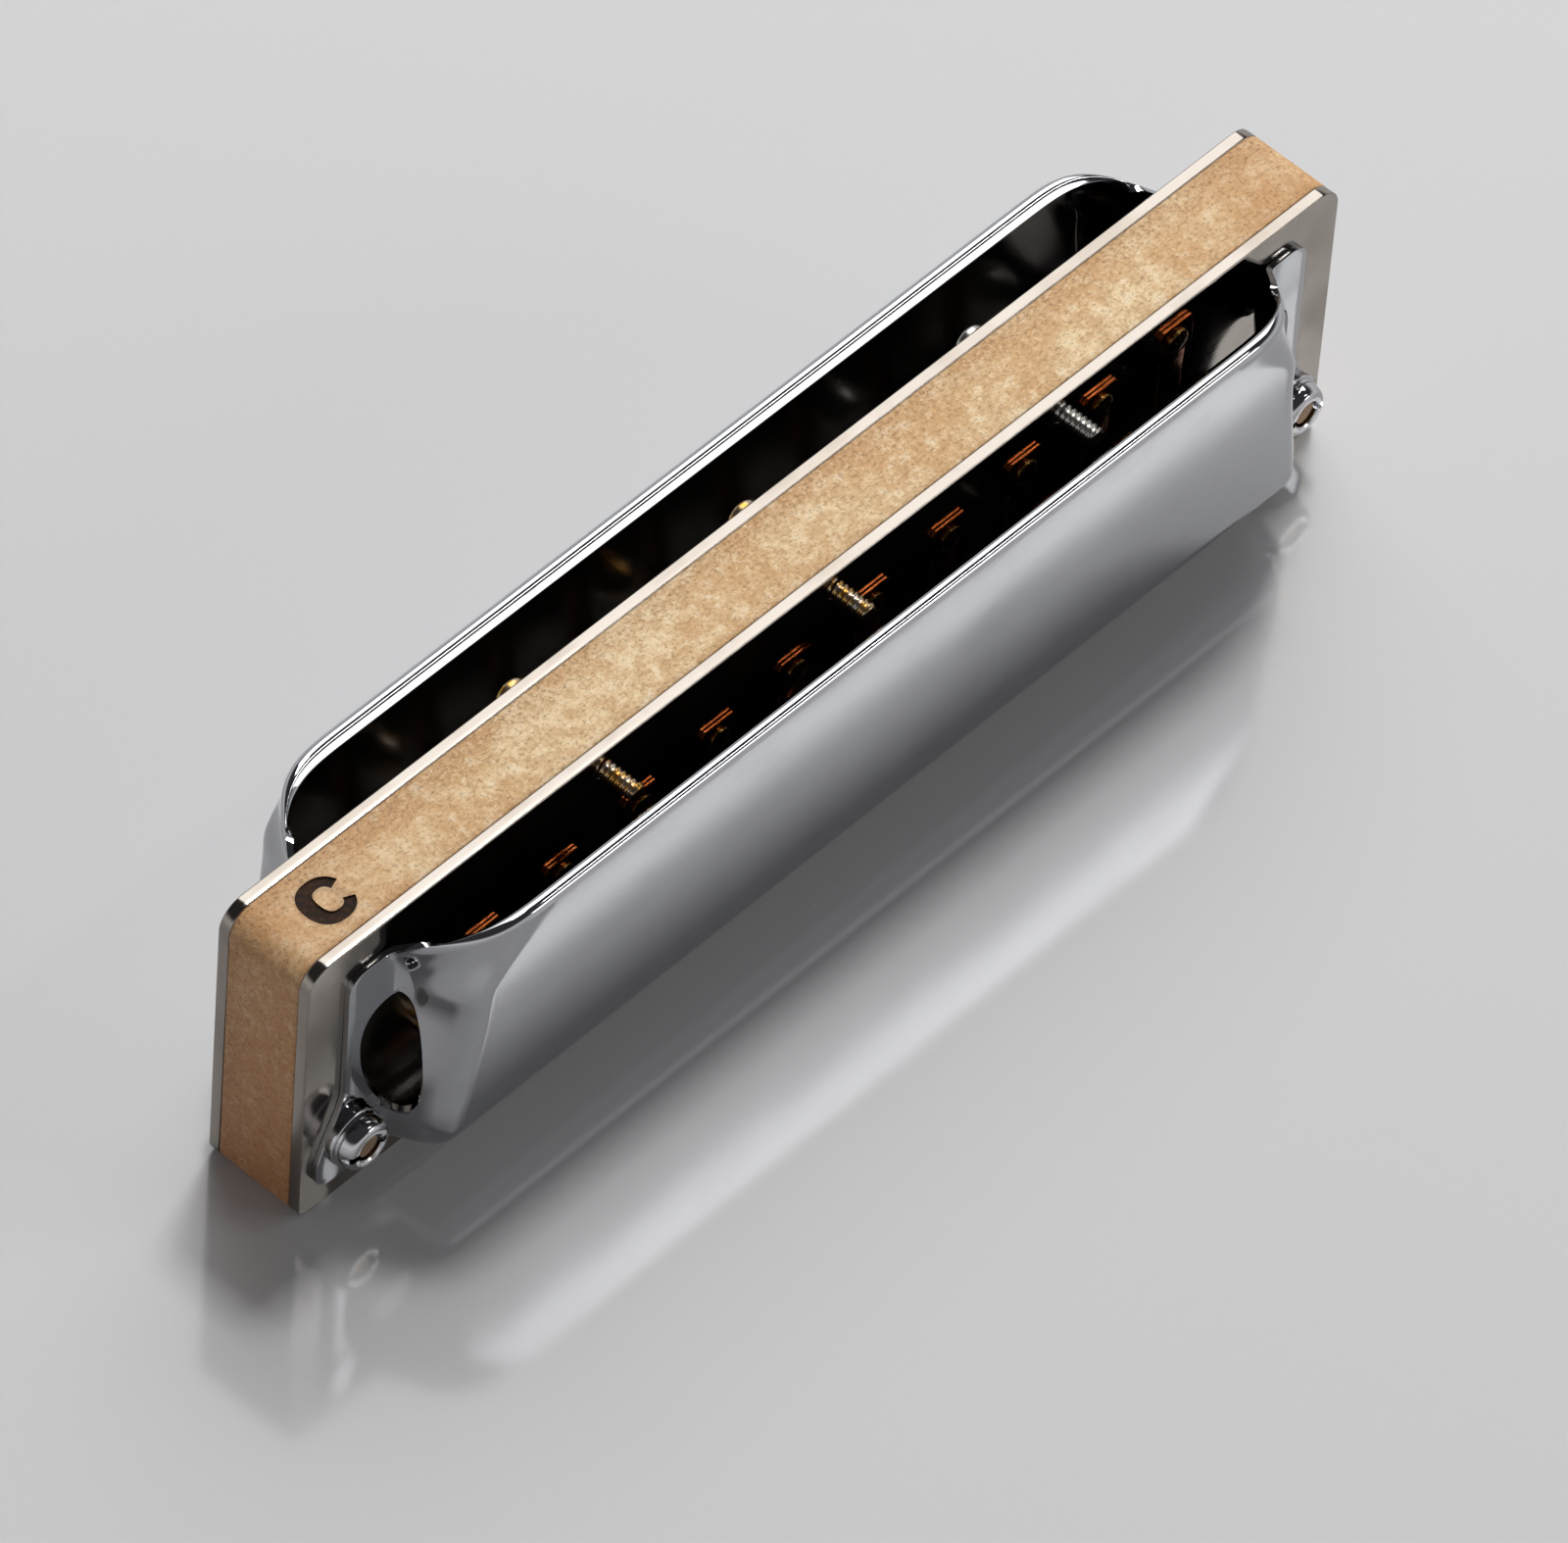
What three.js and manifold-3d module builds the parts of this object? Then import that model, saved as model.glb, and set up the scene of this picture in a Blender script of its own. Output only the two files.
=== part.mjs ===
// A ten-hole diatonic harmonica standing on its mouth face.
// X runs along the length with the low notes at +X, +Y is the blow side, -Y is the draw side,
// and Z rises from the mouth face to the back of the comb. Lengths are millimetres.
import * as THREE from 'three';
import { mergeVertices } from 'three/addons/utils/BufferGeometryUtils.js';
import Module from 'manifold-3d';

const wasm = await Module();
wasm.setup();

// Comb, as long as its chambers, the walls between them and its two end blocks
const HOLE_COUNT = 10;
const CHAMBER_WIDTH = 5;
const CHAMBER_WALL = 2.5;
const END_BLOCK_LENGTH = 14.25;
const COMB_DEPTH = 25;
const COMB_THICKNESS = 6.4;
const BACK_CORNER_RADIUS = 2;
const MOUTH_CORNER_RADIUS = 1;
const CHAMBER_END_RADIUS = 0.8;
const CHAMBER_PAST_ROOT = 0.9;

// Reed plates
const PLATE_THICKNESS = 0.95;
const SLOT_CLEARANCE = 0.15;

// Reeds. The longest one leaves its pad just short of the comb's back
const REED_THICKNESS = 0.3;
const TONGUE_WIDTH = 2.1;
const SHORTEST_TONGUE_LENGTH = 7.3;
const PAD_WIDTH = 3.4;
const PAD_LENGTH = 3.2;
const PAD_CHAMFER = 0.35;
const PAD_BACK_INSET = 1.1;
const DRAW_TIP_HEIGHT = 6.2;
const BLOW_RIVET_PAST_LIP = 0.8;

// Reed rivets
const RIVET_RADIUS = 0.6;
const RIVET_HEAD_RADIUS = 1;
const RIVET_HEAD_HEIGHT = 0.45;
const RIVET_TAIL_HEIGHT = 0.25;
const RIVET_HOLE_CLEARANCE = 0.1;
const RIVET_FLUSH_DEPTH = 0.1;

// Reed plate screws. Those away from the ends stand in the walls, one in every few holes
const HOLES_PER_SCREW = 3;
const SCREW_RADIUS = 0.75;
const SCREW_HEAD_RADIUS = 1.5;
const SCREW_HEAD_HEIGHT = 0.9;
const SCREW_POINT = 0.4;
const SCREW_HOLE_CLEARANCE = 0.15;
const SCREW_REACH = 3.3;
const BACK_SCREW_INSET = 1.5;
const FRONT_SCREW_HEIGHT = 9;
const END_SCREW_INSET = 1.6;

// Covers
const SHEET = 0.45;
const COVER_HEIGHT = 6.15;
const CROWN_SWELL = 0.55;
const SHOULDER_RUN = 3.6;
const COVER_FRONT = 2.4;
const FRONT_LIP = 0.6;
const FLANGE_BACK_INSET = 2.8;
const CROWN_BACK_INSET = 0.2;
const ROLL_RADIUS = 0.6;
const ROLL_LIP = 0.3;
const FLANGE_CORNER = 1.5;

// The crown's foot stands clear of the nuts, draws in to a waist and flares towards the back.
// Its end walls are steep as far up as the waist and slope out at the back
const NUT_TO_FOOT_CLEARANCE = 0.6;
const WAIST_INSET = 1.75;
const WAIST_BELOW_BACK = 5;
const FOOT_FLARE = 1.4;
const END_RUN = 3;
const BACK_END_RUN = 10.5;

// The flange's outer edge, and the ear in it that carries a bolt
const FLANGE_PAST_BOLT = 0.6;
const EAR_REACH = 2.4;
const EAR_ABOVE_BOLT = 4.7;
const EAR_BELOW_BOLT = 2.3;

// Side vents, measured from the crown's foot and from the cover's front and flange back
const VENT_TOP_INSET = 4.5;
const VENT_BOTTOM_INSET = 4.55;
const VENT_OUTER_PAST_FOOT = 2.25;
const VENT_INNER_INSET = 3.85;
const VENT_RISE = 4;

// Cover bolts and nuts, placed from the comb's ends and the covers' fronts
const BOLT_END_INSET = 4.1;
const BOLT_FRONT_INSET = 3.9;
const BOLT_RADIUS = 1;
const BOLT_HEAD_RADIUS = 2.3;
const BOLT_HEAD_HEIGHT = 1.5;
const BOLT_HOLE_CLEARANCE = 0.15;
const BOLT_TIP_RECESS = 0.25;
const NUT_RADIUS = 2.35;
const NUT_RIM = 0.7;
const NUT_HEIGHT = 2.1;
const NUT_TOP_RADIUS = 1.45;
const THREAD_CLEARANCE = 0.05;
const DRIVE_WIDTH = 0.55;
const DRIVE_LENGTH = 2.6;
const DRIVE_DEPTH = 0.7;
const SCREW_DRIVE_LENGTH = 1.7;
const SCREW_DRIVE_DEPTH = 0.5;

// Fineness of the facets, and how far a cutter runs past what it cuts
const ROUND_SEGMENTS = 12;
const CORNER_SEGMENTS = 3;
const SHOULDER_ROWS = 6;
const CROWN_ROWS = 6;
const ROLL_ROWS = 3;
const END_COLUMNS = 8;
const COLUMN_CROWDING_SHARE = 1.6;
const END_LIFT_SHARE = 4;
const OVERRUN = 0.5;

// Places along the length that the pieces share, from the middle outwards
const HOLE_PITCH = CHAMBER_WIDTH + CHAMBER_WALL;
const CHAMBERS_HALF_LENGTH = (HOLE_COUNT * HOLE_PITCH - CHAMBER_WALL) / 2;
const HALF_LENGTH = CHAMBERS_HALF_LENGTH + END_BLOCK_LENGTH;
const BOLT_X = HALF_LENGTH - BOLT_END_INSET;
const FLANGE_HALF_LENGTH = BOLT_X + FLANGE_PAST_BOLT;
const FOOT_HALF_LENGTH = BOLT_X - NUT_RADIUS - NUT_TO_FOOT_CLEARANCE;
const VENT_OUTER_X = FOOT_HALF_LENGTH + VENT_OUTER_PAST_FOOT;
const VENT_INNER_X = FOOT_HALF_LENGTH - VENT_INNER_INSET;

// Faces through the thickness, from the comb's middle outwards
const PLATE_INNER = COMB_THICKNESS / 2;
const PLATE_OUTER = PLATE_INNER + PLATE_THICKNESS;
const COVER_OUTER = PLATE_OUTER + SHEET;
const CROWN_RISE = COVER_HEIGHT - SHEET;
const SHOULDER_RISE = CROWN_RISE - CROWN_SWELL;

// Heights above the mouth face
const BOLT_HEIGHT = COVER_FRONT + BOLT_FRONT_INSET;
const EAR_TOP = BOLT_HEIGHT + EAR_ABOVE_BOLT;
const EAR_BOTTOM = BOLT_HEIGHT - EAR_BELOW_BOLT;
const FLANGE_BACK = COMB_DEPTH - FLANGE_BACK_INSET;
const CROWN_BACK = COMB_DEPTH - CROWN_BACK_INSET;
const WAIST_HEIGHT = FLANGE_BACK - WAIST_BELOW_BACK;
const VENT_TOP = FLANGE_BACK - VENT_TOP_INSET;
const VENT_BOTTOM = COVER_FRONT + VENT_BOTTOM_INSET;
const BACK_SCREW_HEIGHT = COMB_DEPTH - BACK_SCREW_INSET;
const BLOW_RIVET_HEIGHT = COVER_FRONT + FRONT_LIP + BLOW_RIVET_PAST_LIP;
const BLOW_ROOT_HEIGHT = BLOW_RIVET_HEIGHT + PAD_LENGTH / 2;
const LONGEST_TONGUE_LENGTH = COMB_DEPTH - PAD_BACK_INSET - PAD_LENGTH - DRAW_TIP_HEIGHT;

// Radii of the holes that the fasteners pass through
const RIVET_HOLE_RADIUS = RIVET_RADIUS + RIVET_HOLE_CLEARANCE;
const SCREW_HOLE_RADIUS = SCREW_RADIUS + SCREW_HOLE_CLEARANCE;
const BOLT_HOLE_RADIUS = BOLT_RADIUS + BOLT_HOLE_CLEARANCE;

const mix = (from, to, share) => from + (to - from) * share;

// The holes are numbered from 1 at the low end, +X
const holes = Array.from({ length: HOLE_COUNT }, (_, index) => {
  const tongue = mix(LONGEST_TONGUE_LENGTH, SHORTEST_TONGUE_LENGTH, index / (HOLE_COUNT - 1));
  const drawRoot = DRAW_TIP_HEIGHT + tongue;
  return {
    number: index + 1,
    x: HOLE_PITCH * ((HOLE_COUNT - 1) / 2 - index),
    tongue,
    drawRoot,
    chamberEnd: drawRoot + CHAMBER_PAST_ROOT,
  };
});

const screwSpacing = HOLES_PER_SCREW * HOLE_PITCH;
const screwPlaces = [
  ...[-1, 0, 1].map((step) => ({ x: step * screwSpacing, z: BACK_SCREW_HEIGHT })),
  ...[-1, 0, 1].map((step) => ({ x: step * screwSpacing, z: FRONT_SCREW_HEIGHT })),
  ...[-1, 1].map((side) => ({
    x: side * (CHAMBERS_HALF_LENGTH + END_SCREW_INSET),
    z: FRONT_SCREW_HEIGHT,
  })),
];

const boltPlaces = [
  { side: 'left', x: -BOLT_X },
  { side: 'right', x: BOLT_X },
];

const materials = {
  pearwood: { color: 0xbe966a, roughness: 0.6, metalness: 0 },
  plate: { color: 0xd8d2c4, roughness: 0.25, metalness: 1 },
  chrome: { color: 0xdcdcde, roughness: 0.08, metalness: 1 },
  bronze: { color: 0xc8824a, roughness: 0.3, metalness: 1 },
  rivet: { color: 0xc9a35c, roughness: 0.35, metalness: 1 },
  steel: { color: 0xc4c4c6, roughness: 0.25, metalness: 1 },
};

const harmonica = new THREE.Group();
harmonica.name = 'harmonica';

function addMesh(name, geometry, finish) {
  const mesh = new THREE.Mesh(geometry, new THREE.MeshStandardMaterial(materials[finish]));
  mesh.name = name;
  harmonica.add(mesh);
}

// Boolean work on closed geometries
function toSolid(geometry) {
  const bare = geometry.clone();
  bare.deleteAttribute('normal');
  bare.deleteAttribute('uv');
  const merged = mergeVertices(bare);
  const vertProperties = new Float32Array(merged.attributes.position.array);
  const triVerts = new Uint32Array(merged.index.array);
  return new wasm.Manifold(new wasm.Mesh({ numProp: 3, vertProperties, triVerts }));
}

function toGeometry(solid) {
  const mesh = solid.getMesh();
  const geometry = new THREE.BufferGeometry();
  geometry.setAttribute('position', new THREE.BufferAttribute(mesh.vertProperties, 3));
  geometry.setIndex(new THREE.BufferAttribute(mesh.triVerts, 1));
  return geometry;
}

function cut(geometry, cutters) {
  return toGeometry(cutters.reduce((solid, cutter) => solid.subtract(toSolid(cutter)), toSolid(geometry)));
}

// A shape drawn in X and Z becomes a slab between two Y values
function slab(shape, yLow, yHigh) {
  const options = { depth: yHigh - yLow, bevelEnabled: false, curveSegments: CORNER_SEGMENTS };
  const geometry = new THREE.ExtrudeGeometry(shape, options);
  geometry.rotateX(Math.PI / 2);
  geometry.translate(0, yHigh, 0);
  return geometry;
}

// A profile of [radius, y] pairs turned about a line along Y
function turned(profile, x, z) {
  const points = profile.map(([radius, y]) => new THREE.Vector2(radius, y));
  const geometry = new THREE.LatheGeometry(points, ROUND_SEGMENTS);
  geometry.translate(x, 0, z);
  return geometry;
}

// Cutters for round holes and slots through the slab between two Y values
function roundCutter(x, z, radius, yLow, yHigh) {
  const geometry = new THREE.CylinderGeometry(radius, radius, yHigh - yLow + 2 * OVERRUN, ROUND_SEGMENTS);
  geometry.translate(x, (yLow + yHigh) / 2, z);
  return geometry;
}

function slotCutter(x, width, zFrom, zTo, yLow, yHigh) {
  const geometry = new THREE.BoxGeometry(width, yHigh - yLow + 2 * OVERRUN, Math.abs(zTo - zFrom));
  geometry.translate(x, (yLow + yHigh) / 2, (zFrom + zTo) / 2);
  return geometry;
}

// The outline that comb and plates share, closed along the mouth
function startOutline() {
  const shape = new THREE.Shape();
  shape.moveTo(HALF_LENGTH - MOUTH_CORNER_RADIUS, 0);
  const mouthZ = MOUTH_CORNER_RADIUS;
  const backZ = COMB_DEPTH - BACK_CORNER_RADIUS;
  const mouthX = HALF_LENGTH - MOUTH_CORNER_RADIUS;
  const backX = HALF_LENGTH - BACK_CORNER_RADIUS;
  shape.absarc(mouthX, mouthZ, MOUTH_CORNER_RADIUS, -Math.PI / 2, 0, false);
  shape.absarc(backX, backZ, BACK_CORNER_RADIUS, 0, Math.PI / 2, false);
  shape.absarc(-backX, backZ, BACK_CORNER_RADIUS, Math.PI / 2, Math.PI, false);
  shape.absarc(-mouthX, mouthZ, MOUTH_CORNER_RADIUS, Math.PI, 1.5 * Math.PI, false);
  return shape;
}

function fastenerCutters(yLow, yHigh) {
  return [
    ...screwPlaces.map(({ x, z }) => roundCutter(x, z, SCREW_HOLE_RADIUS, yLow, yHigh)),
    ...boltPlaces.map(({ x }) => roundCutter(x, BOLT_HEIGHT, BOLT_HOLE_RADIUS, yLow, yHigh)),
  ];
}

// The comb's mouth edge runs in and out of each chamber, from -X to +X
function makeComb() {
  const shape = startOutline();
  for (const { x, chamberEnd } of [...holes].reverse()) {
    const left = x - CHAMBER_WIDTH / 2;
    const right = x + CHAMBER_WIDTH / 2;
    const arcZ = chamberEnd - CHAMBER_END_RADIUS;
    shape.lineTo(left, 0);
    shape.lineTo(left, arcZ);
    shape.absarc(left + CHAMBER_END_RADIUS, arcZ, CHAMBER_END_RADIUS, Math.PI, Math.PI / 2, true);
    shape.absarc(right - CHAMBER_END_RADIUS, arcZ, CHAMBER_END_RADIUS, Math.PI / 2, 0, true);
    shape.lineTo(right, 0);
  }
  const block = slab(shape, -PLATE_INNER, PLATE_INNER);
  addMesh('comb', cut(block, fastenerCutters(-PLATE_INNER, PLATE_INNER)), 'pearwood');
}

// Where a reed lies: its tongue runs from root towards tip, and its pad the other way
function reedPlaces(side) {
  return holes.map((hole) => {
    const root = side === 'draw' ? hole.drawRoot : BLOW_ROOT_HEIGHT;
    const towardsTip = side === 'draw' ? -1 : 1;
    return {
      number: hole.number,
      x: hole.x,
      root,
      towardsTip,
      tip: root + towardsTip * hole.tongue,
      padEnd: root - towardsTip * PAD_LENGTH,
      rivetZ: root - (towardsTip * PAD_LENGTH) / 2,
    };
  });
}

function makeReedPlate(side) {
  const [yLow, yHigh] = side === 'draw' ? [-PLATE_OUTER, -PLATE_INNER] : [PLATE_INNER, PLATE_OUTER];
  const slotWidth = TONGUE_WIDTH + 2 * SLOT_CLEARANCE;
  const reedCutters = reedPlaces(side).flatMap(({ x, root, tip, towardsTip, rivetZ }) => [
    slotCutter(x, slotWidth, root, tip + towardsTip * SLOT_CLEARANCE, yLow, yHigh),
    roundCutter(x, rivetZ, RIVET_HOLE_RADIUS, yLow, yHigh),
  ]);
  const plate = cut(slab(startOutline(), yLow, yHigh), [...reedCutters, ...fastenerCutters(yLow, yHigh)]);
  addMesh(`${side}_reed_plate`, plate, 'plate');
}

// One strip of spring bronze: a chamfered pad with a rivet hole, then the narrower tongue
function makeReed(side, place) {
  const { number, x, root, tip, towardsTip, padEnd, rivetZ } = place;
  const padHalf = PAD_WIDTH / 2;
  const tongueHalf = TONGUE_WIDTH / 2;
  const cornerZ = padEnd + towardsTip * PAD_CHAMFER;
  const neckZ = root - towardsTip * PAD_CHAMFER;
  const half = [
    [tongueHalf, tip],
    [tongueHalf, root],
    [padHalf, neckZ],
    [padHalf, cornerZ],
    [padHalf - PAD_CHAMFER, padEnd],
  ];
  const mirrored = [...half].reverse().map(([offset, z]) => [-offset, z]);
  const shape = new THREE.Shape([...half, ...mirrored].map(([offset, z]) => new THREE.Vector2(x + offset, z)));
  const top = side === 'draw' ? -PLATE_OUTER : PLATE_INNER;
  const bottom = top - REED_THICKNESS;
  const rivetHole = roundCutter(x, rivetZ, RIVET_HOLE_RADIUS, bottom, top);
  addMesh(`${side}_reed_${number}`, cut(slab(shape, bottom, top), [rivetHole]), 'bronze');
}

// The rivet's domed head lies on the pad. A blow rivet's tail shows outside the blow plate,
// and a draw rivet's tail ends inside its plate, clear of the wood
function makeRivet(side, { number, x, rivetZ }) {
  const face = side === 'draw' ? -PLATE_OUTER : PLATE_INNER;
  const pad = face - REED_THICKNESS;
  const headTop = pad - RIVET_HEAD_HEIGHT;
  const domeRadius = (RIVET_RADIUS + RIVET_HEAD_RADIUS) / 2;
  const profile = [
    [0, headTop],
    [domeRadius, headTop + RIVET_HEAD_HEIGHT / 4],
    [RIVET_HEAD_RADIUS, pad],
    [RIVET_RADIUS, pad],
  ];
  if (side === 'draw') {
    const tail = -PLATE_INNER - RIVET_FLUSH_DEPTH;
    profile.push([RIVET_RADIUS, tail], [0, tail]);
  } else {
    const tailTop = PLATE_OUTER + RIVET_TAIL_HEIGHT;
    profile.push([RIVET_RADIUS, PLATE_OUTER], [domeRadius, PLATE_OUTER], [RIVET_RADIUS, tailTop], [0, tailTop]);
  }
  addMesh(`${side}_rivet_${number}`, turned(profile, x, rivetZ), 'rivet');
}

// Cross recess in a head whose top is at yTop, as two bars
function crossRecess(x, z, yTop, length, depth) {
  const height = depth + OVERRUN;
  return [
    [length, DRIVE_WIDTH],
    [DRIVE_WIDTH, length],
  ].map(([sizeX, sizeZ]) => {
    const bar = new THREE.BoxGeometry(sizeX, height, sizeZ);
    bar.translate(x, yTop - depth + height / 2, z);
    return bar;
  });
}

// Screws go in from the blow side and their points stand out of the draw plate
function makePlateScrew({ x, z }, index) {
  const pointY = -PLATE_OUTER - SCREW_REACH;
  const headTop = PLATE_OUTER + SCREW_HEAD_HEIGHT;
  const profile = [
    [0, pointY],
    [SCREW_RADIUS - SCREW_POINT, pointY],
    [SCREW_RADIUS, pointY + SCREW_POINT],
    [SCREW_RADIUS, PLATE_OUTER],
    [SCREW_HEAD_RADIUS, PLATE_OUTER],
    [SCREW_HEAD_RADIUS, PLATE_OUTER + SCREW_HEAD_HEIGHT / 2],
    [(SCREW_HEAD_RADIUS + SCREW_RADIUS) / 2, headTop],
    [0, headTop],
  ];
  const recess = crossRecess(x, z, headTop, SCREW_DRIVE_LENGTH, SCREW_DRIVE_DEPTH);
  addMesh(`reed_plate_screw_${index + 1}`, cut(turned(profile, x, z), recess), 'steel');
}

// Cover bolts run from a domed head on the blow cover to a round nut on the draw cover
function makeCoverBolt({ side, x }) {
  const headTop = COVER_OUTER + BOLT_HEAD_HEIGHT;
  const tip = -COVER_OUTER - NUT_HEIGHT + BOLT_TIP_RECESS;
  const profile = [
    [0, tip],
    [BOLT_RADIUS, tip],
    [BOLT_RADIUS, COVER_OUTER],
    [BOLT_HEAD_RADIUS, COVER_OUTER],
    [BOLT_HEAD_RADIUS, COVER_OUTER + BOLT_HEAD_HEIGHT / 3],
    [(BOLT_HEAD_RADIUS + BOLT_RADIUS) / 2, headTop - BOLT_HEAD_HEIGHT / 6],
    [BOLT_RADIUS, headTop],
    [0, headTop],
  ];
  const recess = crossRecess(x, BOLT_HEIGHT, headTop, DRIVE_LENGTH, DRIVE_DEPTH);
  addMesh(`${side}_cover_bolt`, cut(turned(profile, x, BOLT_HEIGHT), recess), 'steel');
}

function makeCoverNut({ side, x }) {
  const base = -COVER_OUTER;
  const top = base - NUT_HEIGHT;
  const bore = BOLT_RADIUS + THREAD_CLEARANCE;
  const shoulder = (NUT_RADIUS + NUT_TOP_RADIUS) / 2;
  const profile = [
    [bore, top],
    [NUT_TOP_RADIUS, top],
    [shoulder, top + (NUT_HEIGHT - NUT_RIM) / 4],
    [NUT_RADIUS, base - NUT_RIM],
    [NUT_RADIUS, base],
    [bore, base],
    [bore, top],
  ];
  const slot = new THREE.BoxGeometry(2 * NUT_RADIUS, DRIVE_DEPTH + OVERRUN, DRIVE_WIDTH);
  slot.translate(x, top + (DRIVE_DEPTH - OVERRUN) / 2, BOLT_HEIGHT);
  addMesh(`${side}_cover_nut`, cut(turned(profile, x, BOLT_HEIGHT), [slot]), 'steel');
}

const smooth = (share) => share * share * (3 - 2 * share);
const clamped = (share) => Math.min(1, Math.max(0, share));

// Half length of the flange's outer edge at a height above the mouth face
function flangeEdge(z) {
  const ear = EAR_REACH * smooth(clamped((EAR_TOP - z) / (EAR_TOP - EAR_BOTTOM)));
  const past = Math.max(0, z - (FLANGE_BACK - FLANGE_CORNER), COVER_FRONT + FLANGE_CORNER - z);
  const trim = FLANGE_CORNER - Math.sqrt(Math.max(0, FLANGE_CORNER ** 2 - past ** 2));
  return FLANGE_HALF_LENGTH + ear - trim;
}

// How far a height lies from the waist to the flange's back, and from the waist down to the bolts
const aboveWaist = (z) => clamped((z - WAIST_HEIGHT) / WAIST_BELOW_BACK);
const belowWaist = (z) => clamped((WAIST_HEIGHT - z) / (WAIST_HEIGHT - BOLT_HEIGHT));

// Half length of the line where the pressed crown leaves the flange
function crownFoot(z) {
  const inset = WAIST_INSET * (1 - smooth(belowWaist(z)));
  return FOOT_HALF_LENGTH - inset + FOOT_FLARE * aboveWaist(z) ** 2;
}

// Length over which the end wall rises from its foot to the crown
function endRun(z) {
  return mix(END_RUN, BACK_END_RUN, smooth(aboveWaist(z)));
}

// The crown's section at mid length, from the front lip to the rolled rear lip.
// Each point has its height above the mouth face and its rise above the flange
function crownSection() {
  const wallZ = COVER_FRONT + FRONT_LIP;
  const shoulderZ = wallZ + SHOULDER_RUN;
  const rollZ = CROWN_BACK - ROLL_RADIUS;
  const points = [{ z: COVER_FRONT, rise: 0 }, { z: wallZ, rise: 0 }];
  for (let row = 1; row <= SHOULDER_ROWS; row += 1) {
    const angle = (row / SHOULDER_ROWS) * (Math.PI / 2);
    points.push({
      z: shoulderZ - SHOULDER_RUN * Math.cos(angle),
      rise: SHOULDER_RISE * Math.sin(angle),
    });
  }
  for (let row = 1; row <= CROWN_ROWS; row += 1) {
    const share = row / CROWN_ROWS;
    points.push({
      z: mix(shoulderZ, rollZ, share),
      rise: mix(SHOULDER_RISE, CROWN_RISE, Math.sin((share * Math.PI) / 2)),
    });
  }
  for (let row = 1; row <= ROLL_ROWS; row += 1) {
    const angle = (row / ROLL_ROWS) * (Math.PI / 2);
    points.push({
      z: rollZ + ROLL_RADIUS * Math.sin(angle),
      rise: CROWN_RISE - ROLL_RADIUS * (1 - Math.cos(angle)),
    });
  }
  points.push({ z: CROWN_BACK, rise: CROWN_RISE - ROLL_RADIUS - ROLL_LIP });
  return points;
}

// Each point of the section also has its height on the flat flange, in step with its way along the sheet
function crownProfile() {
  const section = crownSection();
  const lengths = [0];
  for (let row = 1; row < section.length; row += 1) {
    const step = Math.hypot(section[row].z - section[row - 1].z, section[row].rise - section[row - 1].rise);
    lengths.push(lengths[row - 1] + step);
  }
  return section.map((point, row) => {
    const flatZ = mix(COVER_FRONT, FLANGE_BACK, lengths[row] / lengths[section.length - 1]);
    return { ...point, flatZ };
  });
}

// Columns from -X to +X. An inset of 0 lies on the crown's foot, 1 where the crown turns level
function coverColumns() {
  const insets = [];
  for (let step = 0; step <= END_COLUMNS; step += 1) {
    insets.push((step / END_COLUMNS) ** COLUMN_CROWDING_SHARE);
  }
  const left = insets.map((inset) => ({ zone: 'end', side: -1, inset }));
  const right = [...insets].reverse().map((inset) => ({ zone: 'end', side: 1, inset }));
  const flange = (side) => ({ zone: 'flange', side });
  return [flange(-1), ...left, { zone: 'middle' }, ...right, flange(1)];
}

// A point of the cover's outer face, with y as its distance from the reed plate
function coverPoint(column, { z, rise, flatZ }) {
  if (column.zone === 'middle') {
    return new THREE.Vector3(0, SHEET + rise, z);
  }
  if (column.zone === 'flange') {
    return new THREE.Vector3(column.side * flangeEdge(flatZ), SHEET, flatZ);
  }
  const lift = 1 - (1 - column.inset) ** END_LIFT_SHARE;
  const x = column.side * (crownFoot(flatZ) - endRun(flatZ) * column.inset);
  return new THREE.Vector3(x, SHEET + rise * lift, mix(flatZ, z, lift));
}

// The outward direction at a grid point, from its neighbours along both ways
function gridNormal(grid, row, column) {
  const before = grid[Math.max(0, row - 1)][column];
  const after = grid[Math.min(grid.length - 1, row + 1)][column];
  const left = grid[row][Math.max(0, column - 1)];
  const right = grid[row][Math.min(grid[row].length - 1, column + 1)];
  const along = after.clone().sub(before);
  const across = right.clone().sub(left);
  return along.cross(across).normalize();
}

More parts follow.
